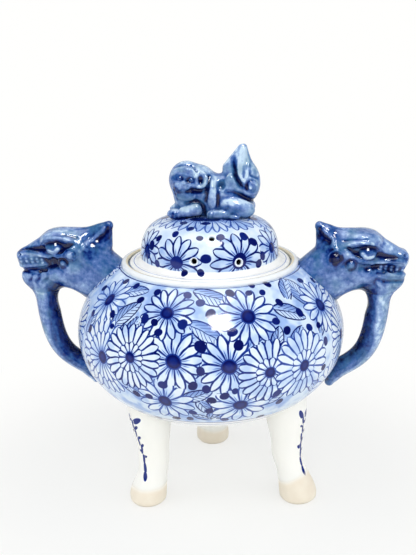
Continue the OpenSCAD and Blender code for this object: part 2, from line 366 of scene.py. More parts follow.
def leaf(surface, azimuth, height, half_l, half_w, turn, dark):
    return stamp(surface(azimuth, height), half_l * 1.1, turn, half_l, (half_l, half_w, dark))


def scattered(blooms, berries):
    """Fills the unseen back of the bowl: rows of blooms, leaves and berries at random, kept apart."""
    taken = [row[:3] for row in blooms] + [(a, h, r + 0.3) for a, h, r in berries]
    found = {"bloom": [], "leaf": [], "berry": []}
    (from_azimuth, to_azimuth), (from_height, to_height) = BACK_AZIMUTHS, BACK_HEIGHTS

    def free(azimuth, height, radius):
        here = oval_point(azimuth, height)[0]
        return all(np.linalg.norm(here - oval_point(a, h)[0]) > 0.86 * (radius + r) for a, h, r in taken)

    for kind, radius, tries in BACK_FILL:
        for _ in range(tries):
            azimuth = from_azimuth + (to_azimuth - from_azimuth) * rng.random()
            height = from_height + (to_height - from_height) * rng.random()
            if not free(azimuth, height, radius):
                continue
            taken.append((azimuth, height, radius))
            if kind == "bloom":
                rings = 1 + int(rng.integers(0, 3)) * (radius > 10)
                row = (radius, 12 + 4 * rings, rings, 0.5 + 0.25 * rng.random())
            elif kind == "leaf":
                row = (7, 2.6, 180 * rng.random(), 0.55)
            else:
                row = (1.4 + rng.random(),)
            found[kind].append((azimuth, height, *row))
    return found


def paint_on(piece, layers):
    """Writes each layer of motifs on the mesh: every face gets the nearest motif that covers it."""
    mesh = piece.data
    points = read(mesh.vertices, "co", np.float32, 3) * METRE
    corner_point = read(mesh.loops, "vertex_index", np.int32)
    corner_count = read(mesh.polygons, "loop_total", np.int32)
    centre = read(mesh.polygons, "center", np.float32, 3) * METRE
    normal = read(mesh.polygons, "normal", np.float32, 3)
    corner_face = np.repeat(np.arange(len(corner_count)), corner_count)
    for layer, stamps in layers.items():
        place = np.zeros((len(corner_point), 3), np.float32)
        kind = np.zeros((len(corner_count), 3), np.float32)
        nearest = np.full(len(corner_count), 1.0)
        owner = np.full(len(corner_count), -1)
        for i, motif in enumerate(stamps):
            share = np.linalg.norm(centre - motif["centre"], axis=1) / motif["reach"]
            mine = (share < nearest) & (normal @ motif["normal"] > 0.1)
            nearest[mine] = share[mine]
            owner[mine] = i
        for i, motif in enumerate(stamps):
            kind[owner == i] = motif["kind"]
            corners = owner[corner_face] == i
            offset = points[corner_point[corners]] - motif["centre"]
            flat = np.stack([offset @ motif["along"], offset @ motif["across"]], axis=1)
            stretch = np.linalg.norm(offset, axis=1) / np.maximum(np.linalg.norm(flat, axis=1), 1e-6)
            place[corners, :2] = flat * stretch[:, None]
            place[corners, 2] = motif["size"]
        for part, domain, values in (("_place", "CORNER", place), ("_kind", "FACE", kind)):
            written = mesh.attributes.new(layer + part, "FLOAT_VECTOR", domain)
            written.data.foreach_set("vector", values.ravel())


# ---------------------------------------------------------------- materials
def plug(tree, value, pin):
    """Links a field to a node's input, or sets the input to a plain number."""
    if isinstance(value, Field):
        tree.links.new(value.socket, pin)
    else:
        pin.default_value = value


def number(operation, *values):
    tree = next(v.tree for v in values if isinstance(v, Field))
    node = tree.nodes.new("ShaderNodeMath")
    node.operation = operation
    for pin, value in zip(node.inputs, values):
        plug(tree, value, pin)
    return Field(tree, node.outputs[0])


def both_ways(operation):
    """The methods for a field on the left of a sign, and for one on the right of it."""
    return lambda a, b: number(operation, a, b), lambda a, b: number(operation, b, a)


class Field:
    """A number worked out by shader nodes, so that the painting reads as arithmetic."""

    def __init__(self, tree, socket):
        self.tree = tree
        self.socket = socket

    __add__, __radd__ = both_ways("ADD")
    __sub__, __rsub__ = both_ways("SUBTRACT")
    __mul__, __rmul__ = both_ways("MULTIPLY")
    __truediv__, __rtruediv__ = both_ways("DIVIDE")


def least(a, b):
    return number("MINIMUM", a, b)


def most(a, b):
    return number("MAXIMUM", a, b)


def size_of(a):
    return number("ABSOLUTE", a)


def rising(low, high, x):
    """0 below low, 1 above high, and smooth between."""
    node = x.tree.nodes.new("ShaderNodeMapRange")
    node.interpolation_type = "SMOOTHSTEP"
    for name, value in (("Value", x), ("From Min", low), ("From Max", high)):
        plug(x.tree, value, node.inputs[name])
    return Field(x.tree, node.outputs["Result"])


def falling(low, high, x):
    return 1 - rising(low, high, x)


def over(under, top, cover):
    return under + (top - under) * cover


def split(tree, socket):
    node = tree.nodes.new("ShaderNodeSeparateXYZ")
    tree.links.new(socket, node.inputs[0])
    return [Field(tree, pin) for pin in node.outputs]


def attribute(tree, name):
    node = tree.nodes.new("ShaderNodeAttribute")
    node.attribute_name = name
    return node


def marked(tree, name):
    """The number that mark gave to each point."""
    return Field(tree, attribute(tree, name).outputs["Fac"])


def motif_place(tree, layer):
    """What paint_on wrote: a point's place in its motif and the motif's size, and then its kind."""
    written = [attribute(tree, layer + part).outputs["Vector"] for part in ("_place", "_kind")]
    return split(tree, written[0]) + split(tree, written[1])


def seen_by(tree, *rays):
    """1 for these kinds of ray, and 0 for the others."""
    outputs = tree.nodes.new("ShaderNodeLightPath").outputs
    seen = [Field(tree, outputs[f"Is {ray} Ray"]) for ray in rays]
    return most(*seen) if len(seen) == 2 else seen[0]


def object_place(tree):
    return tree.nodes.new("ShaderNodeTexCoord").outputs["Object"]


def noise(tree, size, detail=2.0, colour=False):
    """Soft random variation, about size millimetres across."""
    node = tree.nodes.new("ShaderNodeTexNoise")
    node.inputs["Scale"].default_value = METRE / size
    node.inputs["Detail"].default_value = detail
    tree.links.new(object_place(tree), node.inputs["Vector"])
    if colour:
        return split(tree, node.outputs["Color"])
    return Field(tree, node.outputs["Fac"])


def linear(colour):
    return [c / 12.92 if c <= 0.04045 else ((c + 0.055) / 1.055) ** 2.4 for c in colour] + [1.0]


def colours(tree, amount, stops):
    """A colour ramp through (position, display colour) stops."""
    node = tree.nodes.new("ShaderNodeValToRGB")
    ramp = node.color_ramp
    while len(ramp.elements) < len(stops):
        ramp.elements.new(0.5)
    for element, (position, colour) in zip(ramp.elements, stops):
        element.position = position
        element.color = linear(colour)
    tree.links.new(amount.socket, node.inputs["Fac"])
    return node.outputs["Color"]


def mixed(tree, amount, under, top):
    node = tree.nodes.new("ShaderNodeMix")
    node.data_type = "RGBA"
    tree.links.new(amount.socket, node.inputs["Factor"])
    for pin, value in ((node.inputs[6], under), (node.inputs[7], top)):
        if isinstance(value, (tuple, list)):
            pin.default_value = linear(value)
        else:
            tree.links.new(value, pin)
    return node.outputs[2]


def new_material(name, roughness):
    """A principled material, its node tree and its shader."""
    material = bpy.data.materials.new(name)
    material.use_nodes = True
    shader = material.node_tree.nodes["Principled BSDF"]
    shader.inputs["Roughness"].default_value = roughness
    return material, material.node_tree, shader


def add_bump(tree, shader, height, depth):
    """Relief of the surface: height runs from 0 to 1, and depth is in millimetres."""
    node = tree.nodes.new("ShaderNodeBump")
    node.inputs["Distance"].default_value = depth / METRE
    tree.links.new(height.socket, node.inputs["Height"])
    tree.links.new(node.outputs["Normal"], shader.inputs["Normal"])


# Colours of the painting, from bare glaze to the darkest line, and of the wash on the sculpted pieces.
INK = (
    (0.0, (0.98, 0.982, 0.975)), (0.12, (0.83, 0.9, 0.975)), (0.28, (0.62, 0.735, 0.92)),
    (0.5, (0.31, 0.45, 0.76)), (0.72, (0.1, 0.22, 0.57)), (0.9, (0.03, 0.1, 0.42)), (1.0, (0.01, 0.05, 0.34)),
)
COBALT = (
    (0.0, (0.78, 0.87, 0.95)), (0.15, (0.56, 0.67, 0.84)), (0.36, (0.37, 0.48, 0.71)),
    (0.56, (0.19, 0.35, 0.6)), (0.76, (0.03, 0.15, 0.44)), (1.0, (0.0, 0.03, 0.24)),
)
# The dark grey of the painted shade inside the vents.
VENT_SHADE = (0.13, 0.12, 0.12)


def petal_ring(r, turn, petals, near, far, blunt, dark, tint):
    """Ink and cover of one ring of petals between two radii in millimetres. Blunt ones keep their width."""
    along = (r - near) / (far - near)
    pitch = r * (2 * math.pi) / petals
    across = size_of(number("FRACT", turn * petals) - 0.5)
    closing = most(0, (1 - along) * (1.5 + 3.2 * blunt))
    half = 0.5 * least(1, number("POWER", closing, 0.62 - 0.17 * blunt))
    edge = (half - across) * pitch
    inside = rising(-0.12, 0.0, edge) * falling(0.98, 1.03, along)
    brush = least(0.62, 0.17 * pitch + 0.1)
    line = falling(brush * 0.4, brush, size_of(edge)) * falling(1.0, 1.05, along)
    stripe = size_of(number("FRACT", turn * petals * 2 + 0.25) - 0.5)
    streak = falling(0.1, 0.22, stripe) * falling(0.25, 0.5, along)
    wash = 0.7 * tint + 0.16 * falling(0.05, 0.45, along) + 0.4 * streak * dark
    return most(wash, line * dark), most(inside, line)


# Each ring of a bloom: how far it reaches and how many petals it has, as shares of the outer ring's.
RING_REACH = (1.0, 0.46, 0.66)
RING_PETALS = (1.0, 0.62, 0.8)


def bloom_layer(tree, name, under, wobble, strength, rings_used, tint):
    """Paints one layer of chrysanthemums over the ink that is there already."""
    u, v, radius, petals, rings, dark = motif_place(tree, name)
    u = u + wobble[0]
    v = v + wobble[1]
    r = number("SQRT", u * u + v * v)
    turn = number("ARCTAN2", v, u) / (2 * math.pi) + 0.5
    dark = dark * strength
    double = rising(1.4, 1.6, rings)
    core = radius * (0.21 - 0.065 * double)
    here = rising(0.4, 0.6, radius)
    share = r / most(radius, 0.1)
    ink = most(under, (0.22 + 1.7 * tint) * falling(0.5, 1.05, share) * here)
    for ring in range(rings_used):
        far = radius * RING_REACH[ring]
        shown = here if ring == 0 else here * rising(ring + 0.4, ring + 0.6, rings)
        count = number("ROUND", petals * RING_PETALS[ring])
        blunt = 0.3 + 0.7 * double
        ring_ink, cover = petal_ring(r, turn + 0.013 * ring, count, core * 0.8, far, blunt, dark, tint)
        ink = over(ink, ring_ink, cover * shown)
    halo = falling(core * 1.12, core * 1.3 + 0.25, r) * (0.4 + 0.36 * strength)
    disc = falling(0.94, 1.06, r / most(core, 0.1))
    ink = over(ink, most(ink, halo), here)
    return over(ink, 0.86 + 0.14 * rising(0.4, 0.9, r / most(core, 0.1)), here * disc)


def leaf_layer(tree, name, under, wobble, strength):
    u, v, length, half_l, half_w, dark = motif_place(tree, name)
    u = u + wobble[0]
    v = v + wobble[1]
    along = u / most(half_l, 0.1)
    half = half_w * number("POWER", most(0, 1 - along * along), 0.75)
    edge = half - size_of(v)
    inside = rising(-0.1, 0.1, edge)
    spine = falling(0.1, 0.32, size_of(v - 0.12 * u))
    stroke_place = number("FRACT", (u - 1.5 * size_of(v)) / 2.3) - 0.5
    strokes = falling(0.06, 0.17, size_of(stroke_place)) * rising(0.15, 0.5, size_of(v)) * 0.85
    veins = most(spine, strokes) * inside
    line = most(falling(0.2, 0.46, size_of(edge)), veins) * strength * rising(0.05, 0.3, half)
    wash = 0.16 + 0.24 * rising(-0.6, 0.8, v / most(half_w, 0.1))
    here = rising(0.4, 0.6, length)
    return over(under, most(wash, line * dark * 1.25), here * most(inside, line))


def dab_layer(tree, name, under, wobble, strength):
    """Berries and single brush dabs: small filled ovals."""
    u, v, shown, half_l, half_w, dark = motif_place(tree, name)
    along = (u + 0.7 * wobble[0]) / most(half_l, 0.1)
    across = (v + 0.7 * wobble[1]) / most(half_w, 0.1)
    reach = number("SQRT", along * along + across * across)
    return over(under, dark * (0.86 + 0.14 * strength), falling(0.9, 1.04, reach) * rising(0.4, 0.6, shown))


def place_mm(tree):
    """Where a point is on the pot, and how far from its axis."""
    x, y, z = split(tree, object_place(tree))
    radius = number("SQRT", x * x + y * y) * METRE
    return x * METRE, y * METRE, z * METRE, radius


def brushwork(tree):
    """The hand's wobble in millimetres, and the strength of the ink."""
    waver = noise(tree, 7.0, 1.0, colour=True)
    wobble = [(w - 0.5) * 1.5 for w in waver[:2]]
    strength = 0.72 + 0.7 * noise(tree, 3.0)
    return wobble, strength


def finish_glaze(tree, shader, colour, depth=0.08):
    tree.links.new(colour, shader.inputs["Base Color"])
    add_bump(tree, shader, noise(tree, 6.0), depth)


def facing_out(tree, x, y, z, middle):
    """1 on the outside of a hollow piece and 0 on its inside. Its middle is a height on the axis."""
    normal = split(tree, tree.nodes.new("ShaderNodeNewGeometry").outputs["Normal"])
    return rising(0.0, 1.0, x * normal[0] + y * normal[1] + (z - middle) * normal[2])


def painted_porcelain(name, bloom_layers, lines, painted_from, middle, petal_tint, ground_share, ripple):
    """White porcelain glaze, painted blue outside and plain inside, with painted shade inside the vents.

    lines are painted rings: coordinate name, value, half width, darkness. Only they and dabs go below
    painted_from. middle is a height on the axis inside the piece.
    """
    material, tree, shader = new_material(name, 0.11)
    wobble, strength = brushwork(tree)
    x, y, z, radius = place_mm(tree)
    tint = petal_tint + 0.2 * rising(0.42, 0.66, noise(tree, 8.0))
    ground = ground_share * (tint + (0.2 - petal_tint) * rising(0.5, 0.66, noise(tree, 9.0, 3.0)))
    ink = leaf_layer(tree, "leaf", ground, wobble, strength)
    for layer, rings in bloom_layers:
        ink = bloom_layer(tree, layer, ink, wobble, strength, rings, tint)
    ink = ink * rising(painted_from - 0.3, painted_from + 0.1, z + 0.6 * wobble[0])
    ink = dab_layer(tree, "dab", ink, wobble, strength)
    ink = dab_layer(tree, "lip", ink, wobble, strength)
    where = {"radius": radius, "height": z}
    for coordinate, at, half_width, dark in lines:
        gap = size_of(where[coordinate] + 0.2 * wobble[0] - at)
        ink = most(ink, falling(half_width * 0.6, half_width * 1.3, gap) * dark)
    ink = ink * facing_out(tree, x, y, z, middle)
    paint = colours(tree, ink, INK)
    # The painted shade inside the vents is mixed in here.
    finish_glaze(tree, shader, mixed(tree, marked(tree, "vent_shade"), paint, VENT_SHADE), ripple)
    return material


def plain_porcelain(name, near, far):
    """White glazed porcelain, with a cream stain between two radii where the glaze is thin."""
    material, tree, shader = new_material(name, 0.08)
    radius = place_mm(tree)[3]
    glaze = colours(tree, 0.02 + 0.03 * noise(tree, 14.0), ((0.0, (0.985, 0.982, 0.965)),) + INK[1:])
    stained = rising(near - 0.3, near, radius) * falling(far, far + 0.3, radius)
    stained = stained * (0.55 + 0.45 * noise(tree, 8.0))
    finish_glaze(tree, shader, mixed(tree, stained, glaze, (0.9, 0.82, 0.62)))
    return material


def bare_clay(name):
    material, tree, shader = new_material(name, 0.7)
    paint = mixed(tree, noise(tree, 6.0, 4.0), (0.93, 0.89, 0.8), (0.86, 0.8, 0.68))
    tree.links.new(paint, shader.inputs["Base Color"])
    add_bump(tree, shader, noise(tree, 0.6, 3.0), 0.05)
    return material


def leg_porcelain(name):
    """Glazed leg with a painted sprig; the toe is bare, warm clay."""
    material, tree, shader = new_material(name, 0.1)
    wobble, strength = brushwork(tree)
    x, _, z, _ = place_mm(tree)
    ink = dab_layer(tree, "dab", 0.02 + 0.03 * noise(tree, 12.0), wobble, strength)
    glazed = colours(tree, ink, ((0.0, (0.99, 0.98, 0.94)), (0.1, (0.93, 0.94, 0.95))) + INK[2:])
    edge = 7.8 + 0.35 * most(0, x - 30) + 4 * (noise(tree, 14.0) - 0.5)
    bare = falling(edge - 1.5, edge + 2.0, z)
    clay = mixed(tree, noise(tree, 5.0, 4.0), (0.955, 0.925, 0.86), (0.91, 0.86, 0.78))
    tree.links.new(mixed(tree, bare, glazed, clay), shader.inputs["Base Color"])
    tree.links.new((0.1 + 0.4 * bare).socket, shader.inputs["Roughness"])
    add_bump(tree, shader, noise(tree, 4.0), 0.03)
    return material


def cobalt_porcelain(name):
    """Cobalt under glaze, set per point: pale on ridges, dark where pooled, with painted shade and
    highlights.
    """
    material, tree, shader = new_material(name, 0.06)
    mottle = 0.75 * (noise(tree, 6.0, 3.0) - 0.5) + 0.65 * (noise(tree, 1.8) - 0.5)
    ink = 0.38 + 0.62 * marked(tree, "wash_and_painted_light") + mottle
    paint = colours(tree, ink, COBALT)
    teal = rising(0.42, 0.7, noise(tree, 7.0)) * 0.5 * falling(0.7, 1.1, ink)
    finish_glaze(tree, shader, mixed(tree, teal, paint, (0.26, 0.46, 0.58)), 0.24)
    return material


# ---------------------------------------------------------------- pot
def oval_arc(wall, start, end, steps):
    """The bowl's oval outline between two heights in degrees, or the oval a wall's thickness inside it."""
    angle = np.radians(np.linspace(start, end, steps))
    z = belly_z + (BELLY_HALF_H - wall) * np.sin(angle)
    return np.stack([(belly_r - wall) * np.cos(angle), z], axis=1)


def make_bowl():
    ledge = (ledge_z - belly_z) / BELLY_HALF_H
    under_ledge = (ledge_z - LEDGE_T - belly_z) / (BELLY_HALF_H - BOWL_WALL)
    ledge_r = belly_r * math.sqrt(1 - ledge**2)
    lip = 0.6
    outer = oval_arc(0.0, -90, math.degrees(math.asin(ledge)), 200)
    inner = oval_arc(BOWL_WALL, math.degrees(math.asin(under_ledge)), -90, 160)
    outer[0, 0] = inner[-1, 0] = 0.0
    profile = outline(
        outer,
        [(ledge_r - 0.4, ledge_z), (MOUTH_R + lip, ledge_z)],
        arc((MOUTH_R + lip, ledge_z - lip), lip, 90, 180, 4),
        arc((MOUTH_R + lip, ledge_z - LEDGE_T + lip), lip, 180, 270, 4),
    )
    profile = np.concatenate([profile, even_steps(inner, 2.5)])
    points, faces = lathe(profile, 330)
    lines = (("height", 50.9, 0.3, 0.72), ("height", 48.7, 0.26, 0.6), ("radius", 40.2, 0.24, 0.85))
    material = painted_porcelain(
        "painted_bowl", (("back", 3), ("front", 2), ("top", 2)), lines, painted_from=51.6, middle=belly_z,
        petal_tint=0.11, ground_share=1.0, ripple=0.13,
    )
    bowl = mesh_piece("bowl_painted", points, faces, "pot", ["bowl"], material)
    far = scattered(BACK_BLOOMS + FRONT_BLOOMS + TOP_BLOOMS, BERRIES)
    paint_on(bowl, {
        "leaf": [leaf(oval_point, *row) for row in [*LEAVES, *far["leaf"]]],
        "back": [bloom(oval_point, *row) for row in [*BACK_BLOOMS, *far["bloom"]]],
        "front": [bloom(oval_point, *row) for row in FRONT_BLOOMS],
        "top": [bloom(oval_point, *row) for row in TOP_BLOOMS],
        "dab": [berry(oval_point, i, *row) for i, row in enumerate([*BERRIES, *far["berry"]])],
    })


def make_collar():
    low, high = collar_low[2], collar_high[2]
    in_r = collar_r - COLLAR_W
    bend, in_bend, drop = 1.2, 0.8, 0.05
    profile = outline(
        [(in_r, low), (collar_r, low)],
        arc((collar_r - bend, high - bend), bend, 0, 80, 10),
        [(collar_r - bend - 0.2, high), (in_r + in_bend + 0.1, high - drop)],
        arc((in_r + in_bend, high - in_bend - drop), in_bend, 90, 180, 8),
        step=0.35,
    )
    points, faces = lathe(profile, 240, 0.1)
    material = plain_porcelain("collar_glaze", in_r - 0.5, in_r + 0.9)
    mesh_piece("rim_collar_glazed", points, faces, "pot", ["rim_collar"], material)


# Each leg: its angle about the axis in degrees, the radii of its top and its foot, where its sprig stands
# round the leg in degrees, how far the sprig's stem leans in millimetres for each one of height, and how far
# the leg was bent by hand to the right, above the toe.
LEGS = {
    "leg_front_left": (218.5, 34, 36, 28, -0.13, 1.5),
    "leg_front_right": (337, 37, 43.5, -12, 0.02, 0.9),
    "leg_rear": (94, 35, 39.5, 0, 0.05, 0.0),
}
FOOT_HALF_W = 8.4
ANKLE_HALF_W = 6.8
THIGH_HALF_W = 10.2
# The sprig down a leg: height, distance from its stem, half of the length, half of the width, turn.
SPRIG = (
    (14.5, 0, 2.6, 1.0, 92), (18.5, 0.1, 3, 0.9, 94), (23, 0.2, 3, 0.75, 92), (27, 0, 3, 0.75, 88),
    (31, -0.2, 3, 0.7, 96), (35.5, 0, 3, 0.6, 92), (40, -0.3, 2.6, 0.7, 100), (24, 1.2, 1.4, 0.8, 50),
    (26.5, -1, 1.8, 1.2, 120), (29.5, 0.9, 1.6, 0.8, 50), (33.5, 1.0, 1.4, 0.8, 50),
    (36.5, -0.9, 1.5, 0.8, 130), (38.5, 0.9, 1.8, 0.9, 40), (42, 2.2, 3.0, 1.4, 30),
    (42.5, -1.6, 2.8, 1.2, 120),
)


def under_bowl(radius):
    """The height of the bowl's underside at a radius."""
    return belly_z - BELLY_HALF_H * np.sqrt(1 - (radius / belly_r) ** 2)


def make_leg(node, material):
    angle, top_r, foot_r, sprig_turn, sprig_lean, bend = LEGS[node]
    sides, rings, toe_z = 72, 72, 3.0
    bowl_z = under_bowl(top_r)
    widths = (
        (0, FOOT_HALF_W - 1.3), (1.2, FOOT_HALF_W - 0.2), (toe_z, FOOT_HALF_W), (0.36 * bowl_z, ANKLE_HALF_W),
        (0.56 * bowl_z, ANKLE_HALF_W + 0.3), (bowl_z, THIGH_HALF_W - 0.8), (bowl_z + 12, THIGH_HALF_W),
    )
    centres = ((2, foot_r), (0.5 * bowl_z, top_r))
    out = np.array(cos_sin(angle))
    side = np.array([-out[1], out[0]])
    around = all_round(sides)

    def sway(z):
        """How far the leg is bent sideways at a height: most at the ankle, and not at all at its ends."""
        return bend * (smoothstep(3, 17, z) * smoothstep(46, 24, z))

    def ring(z):
        """Points at the height z of each side, which may differ from one side to the next."""
        waver = 1 + 0.012 * np.sin(2 * around + 0.21 * z) + 0.008 * np.sin(3 * around - 0.13 * z)
        radius = eased(widths, z) * waver
        flat = (eased(centres, z) + radius * np.cos(around))[:, None] * out
        flat += (radius * np.sin(around))[:, None] * side
        flat[:, 0] += sway(z)
        return np.concatenate([flat, z[:, None]], axis=1)

    # The top of each side goes a little way into the bowl's wall, and no further.
    top_z = np.full(sides, bowl_z)
    for _ in range(12):
        here = ring(top_z)
        top_z = under_bowl(np.minimum(np.hypot(here[:, 0], here[:, 1]), belly_r * 0.98)) + 0.8
    sole = ring(np.zeros(sides))
    middle = sole.mean(axis=0)
    points = [middle + (sole - middle) * share for share in (0.05, 0.5, 0.9)]
    points += [ring(np.full(sides, z)) for z in (0.0, 0.25, 0.7, 1.3, 2.1)]
    points += [ring(toe_z + (top_z - toe_z) * share) for share in np.linspace(0.0, 1.0, rings)]
    grid, faces = np.concatenate(points), tube_faces(len(points), sides)
    leg = mesh_piece(node + "_glazed", grid, faces, "pot", [node], material)
    direction = math.radians(angle) + math.radians(sprig_turn)
    normal = np.array([math.cos(direction), math.sin(direction), 0.0])
    across = np.array([-normal[1], normal[0], 0.0])
    dabs = []
    for z, offset, half_l, half_w, dab_turn in SPRIG:
        offset += sprig_lean * (z - 14)
        centre = eased(centres, z) * np.append(out, 0.0) + eased(widths, z) * normal + offset * across
        centre[0] += sway(z)
        centre[2] = z
        dabs.append(stamp((centre, normal), half_l * 1.3, dab_turn, 1.0, (half_l, half_w, 0.85)))
    paint_on(leg, {"dab": dabs})


# ---------------------------------------------------------------- lid
def vent_cutter(azimuth, place):
    """A spool that cuts a vent and leaves its edges rounded, as glaze does."""
    flare = 0.6
    waist = VENT_R - 0.35
    mouth = waist + flare + 0.6
    depth = DOME_WALL / 2
    bend = np.radians(np.linspace(0, 90, 10))
    lip = np.stack([waist + flare * (1 - np.cos(bend)), depth - flare + flare * np.sin(bend)], axis=1)
    half = np.concatenate([[[waist, 0.0]], lip, [[mouth, depth + 0.05], [mouth, depth + 2.5]]])
    profile = np.concatenate([half[::-1], half[1:] * [1, -1]])
    sides = 40
    x, y = np.cos(all_round(sides)), np.sin(all_round(sides))
    rings = [np.stack([r * x, r * y, np.full(sides, z)], axis=1) for r, z in profile]
    point, normal = dome_point(azimuth, place)
    turn = Vector(normal).to_track_quat("Z", "Y").to_matrix()
    grid = np.concatenate(rings) @ np.array(turn).T + (point - normal * depth)
    faces = [face[::-1] for face in tube_faces(len(rings), sides)]
    mesh = bpy.data.meshes.new("vent_cutter")
    mesh.from_pydata((grid / METRE).tolist(), [], faces)
    return placed("vent_cutter", mesh)


def cut_away(piece, cutters):
    """Subtracts the cutters from the piece's mesh, then deletes them."""
    for cutter in cutters:
        cut = piece.modifiers.new("cut", "BOOLEAN")
        cut.operation = "DIFFERENCE"
        cut.solver = "EXACT"
        cut.object = cutter
    bpy.context.view_layer.update()
    graph = bpy.context.evaluated_depsgraph_get()
    mesh = bpy.data.meshes.new_from_object(piece.evaluated_get(graph))
    piece.modifiers.clear()
    piece.data = mesh
    for cutter in cutters:
        bpy.data.objects.remove(cutter)
    shade_smooth(mesh)


def make_dome():
    low = dome_low[2]
    outer = bezier(dome_outline, np.linspace(0, 1, 120))
    inner = beside(outer, DOME_WALL)[::-1]
    outer[:, 0] += 1.6 * (1 - smoothstep(0.0, 2.4, outer[:, 1] - flange_z)) ** 2
    under_z = plateau_z - DOME_WALL
    profile = outline(
        [(DOME_R - DOME_WALL, low), (flange_r - 0.4, low)],
        arc((flange_r - 0.5, low + 0.5), 0.5, -80, 0, 5),
        arc((flange_r - 0.7, flange_z - 0.7), 0.7, 0, 90, 6),
        [(flange_r - 1.0, flange_z), (outer[0, 0] + 0.2, flange_z)],
        outer,
        [(PLATEAU_R - 0.8, plateau_z), (0.0, plateau_z)],
        [(0.0, under_z), (PLATEAU_R - 2.0, under_z)],
        inner,
        step=0.8,
    )
    points, faces = lathe(profile, 220, 0.12)
    lines = (("radius", 33.8, 0.14, 0.5), ("radius", flange_r, 0.2, 0.3))
    material = painted_porcelain(
        "painted_lid", (("back", 1), ("front", 1)), lines, painted_from=flange_z + 2.2, middle=flange_z - 5.0,
        petal_tint=0.19, ground_share=0.4, ripple=0.26,
    )
    dome = mesh_piece("lid_dome_painted", points, faces, "lid", ["lid_dome"], material)
    vents = [(group + 90 + angle, place) for group in VENT_GROUPS for angle, place in VENTS]
    cut_away(dome, [vent_cutter(*vent) for vent in vents])
    white_lip = (VENT_R + 0.45, VENT_R + 0.4, 0.05)
    paint_on(dome, {
        "back": [bloom(dome_point, *row) for row in LID_TOP_BLOOMS],
        "front": [bloom(dome_point, *row) for row in LID_BLOOMS],
        "dab": [berry(dome_point, i, *row) for i, row in enumerate(LID_BERRIES)],
        "lip": [stamp(dome_point(*vent), VENT_R + 1.4, 0, 1.0, white_lip) for vent in vents],
    })
    # Painted shade: the walls inside each vent are painted dark below its mouth.
    points = read(dome.data.vertices, "co", np.float32, 3) * METRE
    vent_shade = np.zeros(len(points))
    for vent in vents:
        mouth, normal = dome_point(*vent)
        depth = (mouth - points) @ normal
        from_axis = np.linalg.norm(points - mouth + depth[:, None] * normal, axis=1)
        in_wall = smoothstep(0.5, 1.2, depth) * smoothstep(DOME_WALL + 2.0, DOME_WALL + 1.0, depth)
        vent_shade = np.maximum(vent_shade, in_wall * smoothstep(VENT_R + 0.8, VENT_R + 0.2, from_axis))
    mark(dome, "vent_shade", vent_shade)


def make_seat_ring():
    low, high = seat_low[2], seat_high[2]
    outer_r = seat_high[0]
    inner_r = outer_r - SEAT_T
    bend = 0.8
    profile = outline(
        [(inner_r, high), (inner_r, low + bend + 0.1)],
        arc((inner_r + bend, low + bend), bend, 180, 270, 6),
        arc((outer_r - bend, low + bend), bend, 270, 360, 6),
        [(outer_r, low + bend + 0.1), (outer_r, high)],
        step=0.6,
    )
    points, faces = lathe(profile, 200, 0.08)
    clay = bare_clay("bare_clay")
    mesh_piece("lid_seat_ring_bare", points, faces, "lid", ["lid_seat_ring"], clay)


# ---------------------------------------------------------------- clay
# The distance to the skin is worked out only near it, and is this much everywhere else.
FAR = 6.0
# Grid steps that a mirrored block has beyond its middle plane.
SPARE_STEPS = 3
# How far around a point the glaze looks for hollows to pool in, in millimetres, and how much each counts.
POOLS = ((0.7, 1.3), (1.9, 1.1))


def softened(field, width):
    """The field blurred over width grid steps."""
    spectrum = np.fft.rfftn(field)
    for axis, count in enumerate(field.shape):
        wave = np.fft.rfftfreq(count) if axis == 2 else np.fft.fftfreq(count)
        shape = [1, 1, 1]
        shape[axis] = len(wave)
        spectrum *= np.exp(-2.0 * (math.pi * width * wave) ** 2).reshape(shape)
    return np.fft.irfftn(spectrum, field.shape).astype(np.float32)


def soft_least(a, b, blend):
    """The lesser of two fields, with their join rounded over a blend in millimetres."""
    overlap = np.maximum(blend - np.abs(a - b), 0.0) / blend
    return np.minimum(a, b) - overlap * overlap * blend / 4.0


def smooth_path(points, step=0.6):
    """A curve through the points, as points about one step apart."""
    points = np.asarray(points, float)
    if len(points) < 3:
        return even_steps(points, step)
    padded = np.concatenate([[2 * points[0] - points[1]], points, [2 * points[-1] - points[-2]]])
    stretches = []
    for before, start, end, after in zip(padded, padded[1:], padded[2:], padded[3:]):
        handles = start + (end - before) / 6, end - (after - start) / 6
        stretches.append(bezier((start, *handles, end), np.linspace(0, 1, 8)))
    return even_steps(np.concatenate(stretches), step)


def circle(x, z, radius, start, end, steps):
    """Places round part of a circle, between two angles in radians."""
    return [(x + radius * math.cos(a), z + radius * math.sin(a)) for a in np.linspace(start, end, steps)]


def rod(offset, along, start_r, end_r):
    """Distance to the skin of a bar with round ends, from offsets (x, y, z) from its start."""
    x, y, z = offset
    t = np.clip((x * along[0] + y * along[1] + z * along[2]) / (along @ along), 0.0, 1.0)
    gap = np.sqrt((x - t * along[0]) ** 2 + (y - t * along[1]) ** 2 + (z - t * along[2]) ** 2)
    return gap - (start_r + (end_r - start_r) * t)


